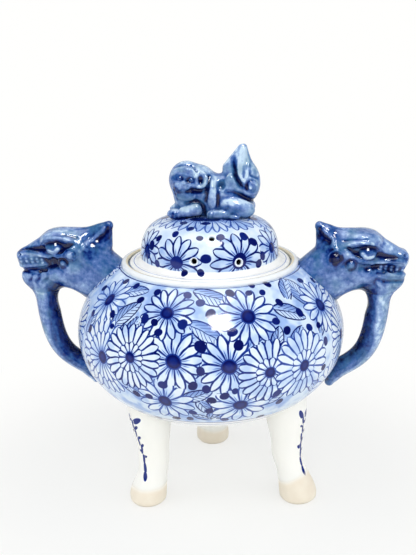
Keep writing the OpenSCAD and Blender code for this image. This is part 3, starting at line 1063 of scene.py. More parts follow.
class Clay:
    """A block of clay on a grid of points: lumps are added, hollows cut, and its skin becomes a mesh.

    The field holds the distance to the skin in millimetres, less than 0 inside. The grid covers y from about
    0 when the shape is the same on both sides, and is mirrored before the skin is made. Ridges, grooves and
    stains are given as (x, z) places and drawn on the skin of one side: 1 is towards +Y and -1 towards -Y.
    """

    def __init__(self, low, high, step, mirrored=False):
        self.step = step
        self.mirrored = mirrored
        self.side = 1
        low = list(low)
        if mirrored:
            low[1] = -SPARE_STEPS * step
        self.axes = [np.arange(a, b + step / 2, step, dtype=np.float32) for a, b in zip(low, high)]
        self.field = np.full([len(a) for a in self.axes], FAR, np.float32)
        self.strokes = []

    def near(self, low, high):
        """Where a box lies in the grid, and the coordinates of its points."""
        spans = tuple(slice(*np.searchsorted(axis, (a, b))) for axis, a, b in zip(self.axes, low, high))
        x, y, z = (axis[s] for axis, s in zip(self.axes, spans))
        y = np.abs(y) if self.mirrored else y
        return spans, x[:, None, None], y[None, :, None], z[None, None, :]

    def put(self, spans, shape, blend, hollow=False):
        """Adds a shape, or cuts it away, with the join rounded over a blend in millimetres."""
        sign = -1 if hollow else 1
        self.field[spans] = sign * soft_least(sign * self.field[spans], shape, blend)

    def lump(self, centre, radii, blend=2.0, tilt=0, hollow=False):
        """Adds an ellipsoid, or cuts it away. tilt turns it in the x, z plane, in degrees."""
        centre, radii = np.array(centre, float), np.array(radii, float)
        reach = np.array([max(radii[0], radii[2]), radii[1], max(radii[0], radii[2])]) + blend + 1.0
        spans, x, y, z = self.near(centre - reach, centre + reach)
        c, s = cos_sin(tilt)
        x, y, z = x - centre[0], y - centre[1], z - centre[2]
        u, w = c * x + s * z, c * z - s * x
        near = np.sqrt((u / radii[0]) ** 2 + (y / radii[1]) ** 2 + (w / radii[2]) ** 2)
        slope = np.sqrt((u / radii[0] ** 2) ** 2 + (y / radii[1] ** 2) ** 2 + (w / radii[2] ** 2) ** 2)
        self.put(spans, near * (near - 1.0) / np.maximum(slope, 1e-6), blend, hollow)

    def bar(self, start, start_r, end, end_r, blend=2.0, flat=1.0, hollow=False):
        """Adds a bar with round ends, or cuts it away. flat is its width along y as a share of its height."""
        start, end = np.array(start, float), np.array(end, float)
        reach = max(start_r, end_r) + blend + 1.0
        spans, x, y, z = self.near(np.minimum(start, end) - reach, np.maximum(start, end) + reach)
        along = end - start
        along[1] /= flat
        offset = (x - start[0], (y - start[1]) / flat, z - start[2])
        self.put(spans, rod(offset, along, start_r, end_r) * min(flat, 1.0), blend, hollow)

    def line(self, path, radii, blend=0.6, hollow=False):
        """Adds a thread of clay along a path, or cuts one away. Its radii are spread evenly along it."""
        path = np.asarray(path)
        radii = np.interp(np.linspace(0.0, 1.0, len(path)), np.linspace(0.0, 1.0, len(radii)), radii)
        low, high = path.min(axis=0) - radii.max(), path.max(axis=0) + radii.max()
        spans, x, y, z = self.near(low - blend - 1.0, high + blend + 1.0)
        shape = np.full(self.field[spans].shape, FAR, np.float32)
        for start, end, start_r, end_r in zip(path, path[1:], radii, radii[1:]):
            offset = (x - start[0], y - start[1], z - start[2])
            shape = np.minimum(shape, rod(offset, end - start, start_r, end_r))
        self.put(spans, shape, blend, hollow)

    def onto(self, places, lift=0.0):
        """Points on the skin for (x, z) places: lift is how far they stand out of it."""
        found = []
        for x, z in places:
            steps = [round(float((v - axis[0]) / self.step)) for v, axis in zip((x, z), self.axes[::2])]
            i, k = (min(count, len(axis) - 1) for count, axis in zip(steps, self.axes[::2]))
            column = self.field[i, :, k]
            inside = np.flatnonzero(column < 0)
            if len(inside) == 0:
                inside = np.array([int(np.argmin(column))])
            j = inside[-1] if self.side > 0 else inside[0]
            beyond = min(max(j + self.side, 0), len(column) - 1)
            share = column[j] / min(column[j] - column[beyond], -1e-6)
            out = self.step * float(np.clip(share, 0, 1)) + lift
            found.append((x, float(self.axes[1][j]) + self.side * out, z))
        return np.array(found)

    def ridge(self, places, radii, thin_glaze_and_highlight, lift=0.0, blend=0.6):
        """Adds a thread of clay on the skin, painted paler over it: thinner glaze and a painted highlight."""
        path = smooth_path(self.onto(smooth_path(places), lift))
        self.line(path, radii, blend)
        self.strokes.append((path, max(radii) * 1.3, -thin_glaze_and_highlight))

    def groove(self, places, radii, dark, lift=0.15, blend=0.5):
        """Draws a round tool along the skin, and lets the glaze pool where it went."""
        path = smooth_path(self.onto(smooth_path(places), lift))
        self.line(path, radii, blend, hollow=True)
        self.strokes.append((path, max(radii) * 1.5, dark))

    def stain(self, places, reach, dark):
        """A place where the cobalt is thicker, or paler when dark is less than 0, mostly as a painted
        highlight.
        """
        self.strokes.append((self.onto(smooth_path(places)), reach, dark))

    def skin(self, glaze):
        """The skin's points, its faces, the way out of it at each point, and where glaze would pool."""
        field = self.field
        low = np.array([axis[0] for axis in self.axes])
        if self.mirrored:
            half = field[:, SPARE_STEPS:, :]
            field = np.concatenate([half[:, :0:-1, :], half], axis=1)
            low[1] = -(half.shape[1] - 1) * self.step
        field = softened(np.clip(field, -FAR, FAR), glaze)
        cells, faces, offset = net(field)
        near = cells + offset
        hollowness = np.zeros(len(near))
        for width, weight in POOLS:
            blurred = softened(np.clip(field, -3 * width, 3 * width), width / self.step)
            hollowness -= weight * sampled(blurred, near) / width
        outward = np.stack([sampled(np.gradient(field, axis=a), near) for a in range(3)], axis=1)
        outward /= np.linalg.norm(outward, axis=1)[:, None]
        return low + near * self.step, faces, outward, hollowness


def sampled(field, places):
    """The field's values between its grid points."""
    base = np.clip(np.floor(places).astype(int), 0, np.array(field.shape) - 2)
    part = places - base
    total = np.zeros(len(places))
    for corner in np.ndindex(2, 2, 2):
        weight = np.prod(np.where(np.array(corner) == 1, part, 1.0 - part), axis=1)
        at = base + corner
        total += weight * field[at[:, 0], at[:, 1], at[:, 2]]
    return total


AXES = np.eye(3, dtype=int)


def net(field):
    """Surface net of the field: a point in each cell that the skin crosses, and a quad for each crossed edge.

    Gives the cells, the quads and where each point lies in its cell.
    """
    inside = field < 0
    small = tuple(n - 1 for n in field.shape)
    count = np.zeros(small, np.int8)
    for corner in np.ndindex(2, 2, 2):
        count += inside[tuple(slice(c, c + n) for c, n in zip(corner, small))]
    crossed = (count > 0) & (count < 8)
    cells = np.argwhere(crossed)
    number_of = np.full(small, -1)
    number_of[crossed] = np.arange(len(cells))
    total = np.zeros((len(cells), 3))
    crossings = np.zeros(len(cells))
    for axis in range(3):
        step = AXES[axis]
        u, v = (AXES[(axis + k) % 3] for k in (1, 2))
        for a, b in np.ndindex(2, 2):
            start = a * u + b * v
            here = field[tuple((cells + start).T)]
            there = field[tuple((cells + start + step).T)]
            hit = (here < 0) != (there < 0)
            share = np.where(hit, here / np.where(hit, here - there, 1.0), 0.0)
            total += hit[:, None] * (start + share[:, None] * step)
            crossings += hit
    faces = []
    for axis in range(3):
        u, v = (AXES[(axis + k) % 3] for k in (1, 2))
        span = [slice(1, -1)] * 3
        span[axis] = slice(0, -1)
        ahead = list(span)
        ahead[axis] = slice(1, None)
        now, then = inside[tuple(span)], inside[tuple(ahead)]
        for out, flip in ((now & ~then, False), (then & ~now, True)):
            at = np.argwhere(out) + (1 - AXES[axis])
            ring = [at - u - v, at - v, at, at - u]
            quad = np.stack([number_of[tuple(p.T)] for p in ring], axis=1)
            faces.append(quad[:, ::-1] if flip else quad)
    return cells, np.concatenate(faces), total / crossings[:, None]


def stroke_ink(points, strokes):
    """How much darker the strokes make each point."""
    ink = np.zeros(len(points))
    for path, reach, dark in strokes:
        gap = np.full(len(points), 1e3)
        low, high = path.min(axis=0) - 2 * reach, path.max(axis=0) + 2 * reach
        near = np.all((points > low) & (points < high), axis=1)
        for place in path:
            gap[near] = np.minimum(gap[near], np.linalg.norm(points[near] - place, axis=1))
        ink += dark * (1.0 - smoothstep(0.55 * reach, 1.15 * reach, gap))
    return ink


# ---------------------------------------------------------------- handles
# Where a neck leaves the bowl's oval and where the strap comes back to it: heights in degrees.
NECK_ANGLE = 34
STRAP_ANGLE = -36
STRAP_HALF_T = 5.2
STRAP_HALF_W = 6.2
# A handle's places are (away from the axis, height) from where its neck leaves the bowl's oval outline.
NECK = on_oval(NECK_ANGLE)
seam_z = box_mm("dragon_head_right")[0][2] - NECK[1]
strap_top = np.array([25.5, seam_z])
strap_foot = on_oval(STRAP_ANGLE) - NECK
strap_drop = strap_top[1] - strap_foot[1]
strap_path = (
    strap_top,
    strap_top + [-1.4, -0.65 * strap_drop],
    strap_foot + [0.78 * (strap_top[0] - strap_foot[0]), 0.27 * strap_drop],
    strap_foot + [10.0, 4.8],
)
# The strap ends in a small tail that hangs beside the bowl.
STRAP_TAIL = np.array([[7.0, 0.8], [5.7, -2.2]])
# How far the sculpted pieces go into what they sit on, to close the joint.
SEAT_DEPTH = 0.7


def keep_off_bowl(clay):
    """Cuts the clay back to the bowl's outside and to the ring round the mouth, less SEAT_DEPTH."""
    x = clay.axes[0][:, None, None] + NECK[0]
    y = clay.axes[1][None, :, None]
    z = clay.axes[2][None, None, :] + NECK[1]
    away = np.sqrt(x * x + y * y)
    near = np.sqrt((away / belly_r) ** 2 + ((z - belly_z) / BELLY_HALF_H) ** 2)
    slope = np.sqrt((away / belly_r**2) ** 2 + ((z - belly_z) / BELLY_HALF_H**2) ** 2)
    outside = near * (near - 1.0) / slope
    ring = np.maximum(away - collar_r, ledge_z - z)
    clay.field = np.maximum(clay.field, -np.minimum(outside, ring) - SEAT_DEPTH)


def strap_shape(x, y, z):
    """Distance to the strap's skin, and how far inside the strap's middle line a point lies, from -1 to 1."""
    t = np.linspace(0.0, 1.0, 60)
    path = bezier(strap_path, t)
    half_t = STRAP_HALF_T - 0.8 * smoothstep(0.0, 1.0, t)
    half_w = STRAP_HALF_W - 0.8 * t
    path = np.concatenate([[path[0] + [0.0, 9.0]], path, strap_foot + STRAP_TAIL])
    half_t = np.concatenate([[STRAP_HALF_T], half_t, [3.4, 2.2]])
    half_w = np.concatenate([[STRAP_HALF_W], half_w, [4.2, 2.6]])
    best = np.full(np.broadcast(x, z).shape, 1e3)
    thick, wide, inner = best * 0, best * 0, best * 0
    for (a, b), (c, d), r, s, v, w in zip(path, path[1:], half_t, half_t[1:], half_w, half_w[1:]):
        along = np.array([c - a, d - b])
        share = np.clip(((x - a) * along[0] + (z - b) * along[1]) / (along @ along), 0.0, 1.0)
        gap = np.hypot(x - a - share * along[0], z - b - share * along[1])
        inwards = ((x - a) * along[1] - (z - b) * along[0]) / np.linalg.norm(along)
        here = (gap, r + (s - r) * share, v + (w - v) * share, inwards)
        better = here[0] - here[1] < best - thick
        before = (best, thick, wide, inner)
        best, thick, wide, inner = (np.where(better, new, old) for new, old in zip(here, before))
    power = 1.7  # 2 would make the strap's section an oval
    shape = ((best / thick) ** power + (np.abs(y) / wide) ** power) ** (1 / power) - 1.0
    return shape * thick, inner / np.maximum(thick, 0.1)


def add_jaw_and_strap(clay):
    """The jaw and the strap that grows out of it, blended, so that head and strap meet in one line."""
    clay.bar((16.3, 0, 3.4), 7, (31.4, 0, 0.9), 4.9, 2.5, 0.86)
    spans, x, y, z = clay.near((0.0, -2.0, -60.0), (40.0, 12.0, 4.0))
    clay.put(spans, strap_shape(x, y, z)[0], 6.0)
    # The arch between neck and strap
    clay.bar((14.2, -12, -11.2), 6.2, (14.2, 12, -11.2), 6.2, 1.5, hollow=True)


def strap_wash_and_shade(points, side):
    """The strap's wash: outer half pale; the half towards the pot dark, from pooled cobalt and painted shade.
    """
    inner = strap_shape(points[:, 0], points[:, 1], points[:, 2])[1]
    border = -0.35 + 0.6 * smoothstep(-40.0, -8.0, points[:, 2]) + 0.04 * np.sin(0.5 * points[:, 2])
    dark = 0.2 * smoothstep(border - 0.2, border, inner)
    dark = dark + 0.44 * smoothstep(border - 0.02, border + 0.14, inner)
    wash_and_painted_light = -0.05 - 0.05 * side + dark + 0.5 * smoothstep(0.3, 0.9, inner)
    return wash_and_painted_light + 0.3 * smoothstep(-0.75, -0.95, inner) - 0.14


def make_strap(side, material):
    """One handle strap. side is 1 for the right-hand one and -1 for the left."""
    clay = Clay((-2, 0, -54), (38, 9, 1), 0.33, mirrored=True)
    z = clay.axes[2][None, None, :]
    add_jaw_and_strap(clay)
    # Above the seam the strap is a little thinner, and hidden in the head.
    clay.field = np.maximum(clay.field + 0.3 * smoothstep(seam_z - 0.1, seam_z + 0.2, z), z - seam_z - 1.5)
    keep_off_bowl(clay)
    points, faces, _, hollowness = clay.skin(1.0)
    finish_handle(points, faces, strap_wash_and_shade(points, side) + 0.4 * hollowness, side, "handle_strap", material)


def finish_handle(points, faces, wash_and_painted_light, side, node, material):
    """Moves a handle's piece to its side of the pot, and makes its mesh."""
    name = node + ("_right" if side > 0 else "_left")
    points = points + np.array([NECK[0], 0.0, NECK[1]])
    if side < 0:
        points = points * np.array([-1.0, 1.0, 1.0])
        faces = faces[:, ::-1]
    piece = mesh_piece(name + "_glazed", points, faces, "pot", [name], material)
    mark(piece, "wash_and_painted_light", wash_and_painted_light)


# Curls of each head's mane, by side: place, size and how dark the wash is on them.
HEAD_CURLS = {
    1: ((12.0, 9.1, 1.25, -0.15), (5.4, 11.9, 1.45, 0.8)),
    -1: ((11.4, 12.8, 1.35, -0.2), (15.0, 9.0, 1.1, -0.1)),
}


def make_head(side, material):
    """One dragon's head, modelled for the right-hand side: x is away from the pot's axis."""
    clay = Clay((-14, 0, -11), (40.5, 13, 28.5), 0.31, mirrored=True)
    bar, lump, groove, ridge, stain = clay.bar, clay.lump, clay.groove, clay.ridge, clay.stain
    # The two heads were worked by hand: the features of the left one sit a little higher.
    rise = -0.05 * side
    ear = 1.6 * side - 0.2

    def at(*places):
        return [(x, z + rise * max(x, 0)) for x, z in places]

    # Neck, throat and skull
    bar((2.9, 0, 8.1), 9, (-4.2, 0, 1.4), 9.4)
    bar((4, 0, 0), 9, (15, 0, 4), 7.6, 3)
    lump((12.3, 0, 13.8), (13, 9.3, 8.6), 3)
    lump((15, 0, 18.4), (9.5, 5.6, 4.7), 2.5)
    bar((10.3, 0, 17.3), 4.6, (ear - 3.0, 0, 24.6), 1.8, 3)
    bar((ear - 2.8, 0, 23.6), 1.7, (ear - 0.9, 0, 16), 3.4, 1.5)
    bar((ear + 0.4, 0, 20.4), 3.8, (ear + 2.4, 0, 14.5), 6.2, 2)
    # Lower lip of the neck, where it meets the bowl
    bar((0, 0, -1), 7, (4.6, 0, -6.0), 3.8, 2)
    # Snout and jaw
    bar((20.3, 0, 14.4), 7.4, (32.7, 0, 9.4), 5.0, 3, 0.88)
    add_jaw_and_strap(clay)
    lump((34.2, 2.1, 11.2), (3.0, 2.6, 2.6), 1.6)
    # Brow over the eye, and the cheek
    lump((17.6, 4.6, 19), (7.4, 3.6, 3.4), 2)
    lump((10.8, 6.4, 6.4), (4.6, 2.6, 3.4), 2)
    lump((17.5, 5.6, 3.2), (5.5, 2.6, 3.2), 2)

    # The eye sits in an almond hollow, under a lid
    lid = smooth_path(clay.onto(smooth_path(at((25, 16.4), (21.5, 19), (16, 19.4), (10.5, 18.2))), 0.1))
    lump((17.6, 9.6, 15.0 + rise * 18), (7.6, 3.1, 3.3), 0.8, -4, hollow=True)
    lump((10.6, 9.8, 16.6 + rise * 11), (3.4, 2.2, 1.4), 0.6, -20, hollow=True)
    lump((19.0, 5.9, 14.5 + rise * 18), (4.2, 3.2, 3.2), 0.4)
    clay.line(lid, (0.4, 0.7, 0.7, 0.4), 0.5)
    # A painted highlight along the upper lid.
    clay.strokes.append((lid[len(lid) // 3:], 0.8, -0.4))
    stain(at((11, 16.2), (14.5, 13), (19, 11.2), (24, 12.8), (30, 12.4)), 2.3, 0.5)
    stain(at((11.5, 17.2), (16, 18), (21, 17.4), (24.5, 15)), 1.8, 0.45)
    stain(at((17.6, 15.6), (21.4, 15)), 3.0, 0.45)
    # A painted reflection on the lower part of the eyeball.
    stain(at((16.8, 14.4), (18.6, 12.8), (21.0, 13.2)), 1.3, -0.95)
    groove(at((18.4, 20.9), (13, 20.7), (8.6, 19.6)), (0.3, 0.6, 0.4), 0.3, 0.1, 0.7)
    # A painted highlight along the top of the brow and snout.
    stain(at((10, 22), (16, 22.6), (22, 20.4), (30, 15.6)), 2.6, -0.12)
    # Bridge of the nose, and the lip that curls back under the eye
    groove(at((24, 13.8), (29.5, 12.9), (36, 11.9)), (1.3, 1.1, 0.8), 0.6, 0.5, 0.8)
    lip = (36, 10.2), (33, 11.2), (29, 11.3), (25, 10.6), (20.5, 10.4), (16, 11.2), (12.5, 13), (9.8, 15.8)
    ridge(at(*lip), (0.7, 1.05, 1.0, 0.95, 0.9, 1.0, 1.1, 0.6), 0.3, -0.1)
    # A row of teeth in a dark band, between the lips
    groove(at((34.8, 6.9), (32, 7.3), (27, 7.8), (22.5, 8.3)), (1.0, 1.5, 1.5, 1.1), 0.5, 0.95, 0.8)
    for n, x in enumerate((34.6, 32.2, 29.6, 27.2, 25)):
        (tooth,) = clay.onto(at((x, 7.2 + 0.3 * (n % 2))))
        bar(tooth + [0.3, -0.2, 1.0], 1.15, tooth + [-0.2, 0, -0.8], 0.8 - 0.06 * n, 0.8)
        clay.strokes.append((np.array([tooth + [0.3, 0.4, 1.2], tooth + [0.1, 0.4, -0.2]]), 0.8, -0.75))
    ridge(at((36, 4.4), (32, 4.9), (27, 5.6), (22.5, 6.6)), (0.8, 0.95, 0.9, 0.5), 0.2, -0.15)
    groove(at((35.8, 1.9), (32, 2.1), (27.5, 2.5), (23.2, 3.4)), (0.6, 0.75, 0.7, 0.4), 0.45, 0.0)
    # The hole at the corner of the mouth, and the washes round it
    hole = 2.4 - 0.5 * side
    lump((19.4, 8.4, 7.9 + rise * 18), (hole, 2.5, hole + 0.1), 0.7, hollow=True)
    stain(at((18.6, 7.8), (20.6, 7.4)), hole + 0.4, 0.5 - 0.25 * side)
    stain(at((21, 5.6), (26, 4.6), (33, 3.6)), 1.3, 0.2)
    stain(at((22, -1), (28, -2), (33, -1)), 3.2, -0.12)
    # Nostril
    lump((35.4, 3.9, 11.8), (1.0, 1.2, 0.7), 0.6, -20, hollow=True)
    # Folds of the chin
    groove(at((26.3, 1.8), (26.6, 0.2), (28, -1.6)), (0.5, 0.8, 0.3), 0.5)
    groove(at((22.3, 2.2), (22.8, 0.4), (24.8, -1.6)), (0.4, 0.7, 0.3), 0.4)
    groove(at((30.2, 0.8), (30.8, -0.8), (32, -2.2)), (0.3, 0.6, 0.3), 0.4)
    # Two curls of the mane
    for x, z, size, dark in HEAD_CURLS[side]:
        (middle,) = clay.onto([(x, z)])
        lump(middle + [0, -0.4, 0], (2.3 * size, 1.6, 2.3 * size), 0.7)
        groove(circle(x, z, 1.7 * size, -0.6 * math.pi, 1.1 * math.pi, 16), (0.4, 0.8, 0.8, 0.4), 0.7)
        stain([(x - 0.2, z), (x + 0.2, z)], 1.7 * size, dark)
    # Swept-back ear: a dark hollow under the crest's tip, with a frilled front edge
    groove(at((ear - 2.8, 23.2), (ear - 1.6, 21), (ear + 1.4, 18.9)), (0.3, 0.9, 0.6), 0.4, 0.3, 0.8)
    stain(at((ear - 3.4, 23), (ear - 3.2, 20.4), (ear - 1.6, 19.4), (ear + 0.6, 18.6)), 1.9, 0.42)
    stain(at((ear - 3, 17.4), (ear + 1, 15.8), (4, 11)), 3.0, 0.16)
    # The pale front edge of the ear is a painted highlight.
    ridge(at((7, 14.2), (4.6, 16.9), (ear + 2.6, 19.8), (ear - 1.6, 23.6)), (0.5, 0.8, 0.7, 0.4), 0.25)
    for n in range(5):
        x, z = 6.0 - 1.7 * n, 14.4 + 1.6 * n
        groove(at((x + 0.7, z + 1.4), (x + 0.1, z + 0.1), (x - 1.4, z - 0.6)), (0.2, 0.4, 0.2), 0.2, 0.1, 0.3)
    keep_off_bowl(clay)
    away = clay.axes[0][:, None, None]
    heights = clay.axes[2][None, None, :]
    clay.field = np.maximum(clay.field, np.minimum(seam_z - heights, away - 14.0))
    points, faces, outward, hollowness = clay.skin(0.95)
    # The strokes were drawn on one side, and the other side mirrors them.
    mirrored = points * np.array([1.0, -1.0, 1.0])
    drawn = stroke_ink(np.where(points[:, 1:2] < 0, mirrored, points), clay.strokes)
    wash_and_painted_light = np.maximum(hollowness, -0.16) + drawn
    # Painted shade: faces that look down are darker, the more so under the neck, which also darkens towards
    # the bowl.
    wash_and_painted_light += 0.45 * smoothstep(0.35, 0.95, -outward[:, 2])
    neck = smoothstep(7.0, -2.0, points[:, 0] - 0.3 * points[:, 2])
    wash_and_painted_light += 0.3 * neck + 0.3 * neck * smoothstep(-0.1, -0.8, outward[:, 2])
    # The chin takes the strap's wash and painted shade, so that the seam doesn't show.
    chin = smoothstep(seam_z + 8.0, seam_z + 1.0, points[:, 2]) * smoothstep(15.0, 18.0, points[:, 0])
    wash_and_painted_light = wash_and_painted_light + (strap_wash_and_shade(points, side) - wash_and_painted_light) * chin
    finish_handle(points, faces, wash_and_painted_light, side, "dragon_head", material)


# ---------------------------------------------------------------- lion
# Curls of the mane on the side that faces away.
LION_CURLS = (
    (-13.6, 17.4), (-10.4, 20.6), (-6.6, 19.6), (-3, 16.6), (-11.6, 13.4), (-7.4, 14.4), (-3.4, 11.6),
    (-9.8, 9.6),
)


def make_lion(material):
    """The lion on the lid: it lies along X with its head at -X, turned to the front, and its tail at +X."""
    clay = Clay((-20.5, -10, -2.5), (25, 10, 33.5), 0.28)
    bar, lump, groove, ridge, stain = clay.bar, clay.lump, clay.groove, clay.ridge, clay.stain
    # Trunk, mane and head
    bar((-6, 0.6, 11), 7, (9, 0.6, 11), 7.6, 3)
    lump((1.5, 0.4, 4.6), (15, 6.4, 5.2), 3)
    lump((14.2, 0.2, 3.6), (5.4, 6.8, 6), 3)
    lump((-9.6, -0.6, 15.8), (7.8, 7.6, 8.3), 2.5)
    lump((-3.4, 0.6, 14.4), (6.4, 7.6, 7.6), 2.5)
    lump((-9.9, -0.4, 8.6), (5.4, 6.4, 6.6), 2.5)
    # Tail: a flame with a lobe and a spiral at its foot
    lump((15.3, 0.2, 14.6), (7.1, 6.0, 9.3), 2)
    bar((14.6, 0, 20), 5.5, (15.5, 0, 30.0), 1.1, 2, 0.86)
    bar((10.2, 0, 20.6), 4.3, (13.9, 0, 29.2), 1.6, 2, 0.9)
    for y in (-1, 1):
        clay.side = y
        # Shoulder, haunch and feet
        lump((1.9, y * 4.8, 9.6), (2.8, 3.8, 6.4), 1)
        lump((12.2, y * 4.6, 4.9), (8.2, 4.9, 4.5), 0.8, -16)
        bar((8, y * 6.7, 1.9), 2.3, (1.2, y * 7.1, 1.6), 1.9, 0.7)
        lump((11.4, y * 8, 0.8), (2.4, 1.2, 1.0), 0.5)
        for x in (0.4, 2.2):
            groove([(x, 2.8), (x - 0.5, 0.6)], (0.3, 0.4), 0.3, 0.05, 0.3)
        # Foreleg, stretched out along the lid
        bar((-5.2, y * 5.3, 3.9), 3.1, (-10.5, y * 5.9, 2.7), 2.4, 0.8)
        lump((-14.6, y * 5.4, 1.7), (3.5, 2.9, 2.3), 0.6)
        for x in (-17.1, -15.4, -13.6):
            groove([(x + 0.3, 3.0), (x, 1.6), (x - 0.2, 0.3)], (0.3, 0.5, 0.4), 0.4, 0.1, 0.3)
        stain([(-15.9, 2.4), (-15, 1.6)], 1.1, 0.4)
        # A painted highlight on top of the foreleg.
        stain([(-9.6, 4.4), (-6.5, 5.2)], 1.8, -0.3)
        # Dark lines between the leg and the chest, and down each side of the shoulder
        groove([(-9.5, 6.8), (-5.2, 7.4), (-2.2, 5.4), (-1.6, 0.8)], (0.4, 0.8, 0.9, 0.7), 0.45)
        groove([(0.6, 18.2), (-0.2, 13), (-0.9, 8)], (0.6, 0.95, 0.5), 0.5)
        groove([(4.6, 14.5), (4.4, 10), (4.0, 5.6)], (0.8, 0.8, 0.5), 0.45)
        lump((5.6, y * 7.2, 15.2), (2.3, 2.8, 3.2), 1.0, hollow=True)
        stain([(5.2, 16.5), (6.4, 13.6)], 1.8, 0.4)
        # Haunch: a soft teal hollow in front, and the line that parts it from the tail
        lump((7.9, y * 9.9, 5.0), (1.9, 1.9, 1.9), 1.2, hollow=True)
        stain([(7.7, 5.1)], 1.7, 0.3)
        # A painted highlight on top of the haunch.
        stain([(9.5, 8.0), (12.6, 6.8)], 1.5, -0.2)
        groove([(8.2, 11.6), (11.8, 11.2), (16.2, 8.6), (19.8, 6.6)], (0.6, 1.0, 1.1, 0.6), 0.55, 0.25)
        # Tail: the dark band, the inner flame, the lobe, the spiral and the short line behind it
        lump((10.2, y * 4.6, 15.6), (2.6, 2.2, 3.6), 0.8, 16)
        band = [(10.6, 25.5), (11.2, 22), (12.0, 18), (14.2, 14.4), (16.4, 13.4)]
        groove(band, (0.4, 0.9, 1.1, 1.1, 0.5), 0.6, 0.2)
        # The inner flame's pale outlines are painted highlights.
        flame = [(15.5, 29.6), (13.4, 24.4), (13.2, 19.6), (14.8, 16.4)]
        ridge(flame, (0.3, 0.55, 0.6, 0.4), 0.45, 0.05, 0.4)
        flame = [(15.6, 29.2), (17.0, 24.6), (17.3, 20.4), (15.6, 16.6)]
        ridge(flame, (0.3, 0.4, 0.5, 0.4), 0.35, 0.05, 0.4)
        groove([(15.4, 22), (15.3, 19.4), (15.2, 17.6)], (0.5, 0.8, 0.6), 0.35, 0.1)
        # The pale streak down the flame's middle is a painted highlight.
        stain([(15.2, 28.6), (14.6, 24), (15.4, 18.4)], 1.7, -0.5)
        groove([(17.9, 22.4), (18.2, 18.6), (21.6, 16.8)], (0.3, 0.6, 0.5), 0.35, 0.1)
        spiral = []
        for n, a in enumerate(np.linspace(0.35 * math.pi, -1.75 * math.pi, 22)):
            wide, tall = 0.9 + 0.28 * n / 3, 0.9 + 0.34 * n / 3
            spiral.append((18.6 + wide * math.cos(a), 13.4 + tall * math.sin(a)))
        lump((18.4, y * 4.6, 13.2), (3.3, 2.0, 3.6), 0.8)
        groove(spiral, (0.5, 0.8, 0.6), 0.5, 0.1, 0.3)
        stain([(18.3, 13.6)], 0.9, -0.4)
    # The head looks out of the front.
    clay.side = -1
    bar((-9, -1.5, 4.8), 2.9, (-14.2, -1.2, 3.2), 2.4, 0.7)
    lump((-10.7, -7.0, 13.6), (4.3, 3.2, 3.4), 1.2)
    lump((-9.6, -6.2, 9.9), (4.4, 2.8, 2.2), 1.0)
    brow = smooth_path([(-15.2, 19.2), (-13, 20.9), (-9.4, 21.2), (-6.3, 20.2), (-5.2, 18.4)])
    brow = smooth_path(clay.onto(brow, 0.1))
    for x, z in ((-12.2, 17.7), (-7.4, 16.9)):
        (eye,) = clay.onto([(x, z)])
        lump(eye + [0, -0.6, 0], (2.3, 1.5, 1.5), 0.9, hollow=True)
        lump(eye + [0.2, 0.9, -0.2], (1.1, 1.0, 0.9), 0.4)
    stain([(-15.2, 17.4), (-12, 18.2), (-8, 17.2), (-5.8, 16.6)], 1.5, 0.5)
    clay.line(brow, (0.7, 1.1, 1.1, 1.0, 0.6), 0.7)
    # A painted highlight along the brow.
    clay.strokes.append((brow, 1.1, -0.25))
    groove([(-15.2, 21.4), (-11, 23), (-6.6, 22.4), (-4.4, 19.6)], (0.3, 0.6, 0.6, 0.4), 0.25)
    # Nose and mouth
    lump((-10.3, -10.0, 15.2), (1.7, 1.1, 1.2), 0.6)
    stain([(-11.2, 15.4), (-9.4, 15.4)], 1.0, -0.1)
    mouth = [(-13.7, 13.2), (-12.2, 12.0), (-10.4, 12.6), (-8.6, 12.0), (-7, 13.0)]
    groove(mouth, (0.4, 0.9, 0.8, 0.9, 0.5), 0.6, 0.1)
    stain([(-13.4, 11.2), (-9.8, 10.6), (-7.2, 11.2)], 1.9, 0.4)
    groove([(-6.2, 12.6), (-3.6, 11.9), (-1.8, 12.6)], (0.7, 1.2, 0.6), 0.6, 0.2)
    # Ear
    ear = [(-4.6, 16.2), (-4.6, 18.6), (-3.2, 20.2), (-1.2, 18.6), (-0.7, 16.0), (-2.2, 13.9), (-3.8, 13.6)]
    lump((-3.0, -7.4, 17.0), (1.6, 1.6, 2.4), 0.6, hollow=True)
    ridge(ear, (0.4, 0.5, 0.6, 0.8, 0.9, 0.8, 0.4), 0.25, 0.4, 0.5)
    stain([(-3.2, 17.6), (-3.2, 16)], 1.1, 0.7)
    groove([(-14.7, 15.2), (-14.6, 11.6), (-13.4, 8.2)], (0.3, 0.7, 0.5), 0.45, 0.1)
    # Curls of the mane on the side that faces away
    clay.side = 1
    for x, z in LION_CURLS:
        (middle,) = clay.onto([(x, z)])
        lump(middle + [0, -0.6, 0], (2.0, 1.5, 2.0), 0.5)
        groove(circle(x, z, 1.3, 0.2, 1.6 * math.pi, 12), (0.3, 0.6, 0.4), 0.4, 0.1, 0.3)
    # The lion sits on the dome: its foot is cut to the dome's outside.
    x, y, z = np.meshgrid(*clay.axes, indexing="ij", sparse=True)
    top = bezier(dome_outline, np.linspace(0.0, 1.0, 80))[::-1]
    floor = np.interp(np.hypot(x, y), top[:, 0], top[:, 1]) - plateau_z
    clay.field = np.maximum(clay.field, floor - SEAT_DEPTH - z)
    points, faces, outward, hollowness = clay.skin(0.95)
    x, z, up = points[:, 0], points[:, 2], outward[:, 2]
    wash_and_painted_light = np.maximum(hollowness, -0.14) + stroke_ink(points, clay.strokes)
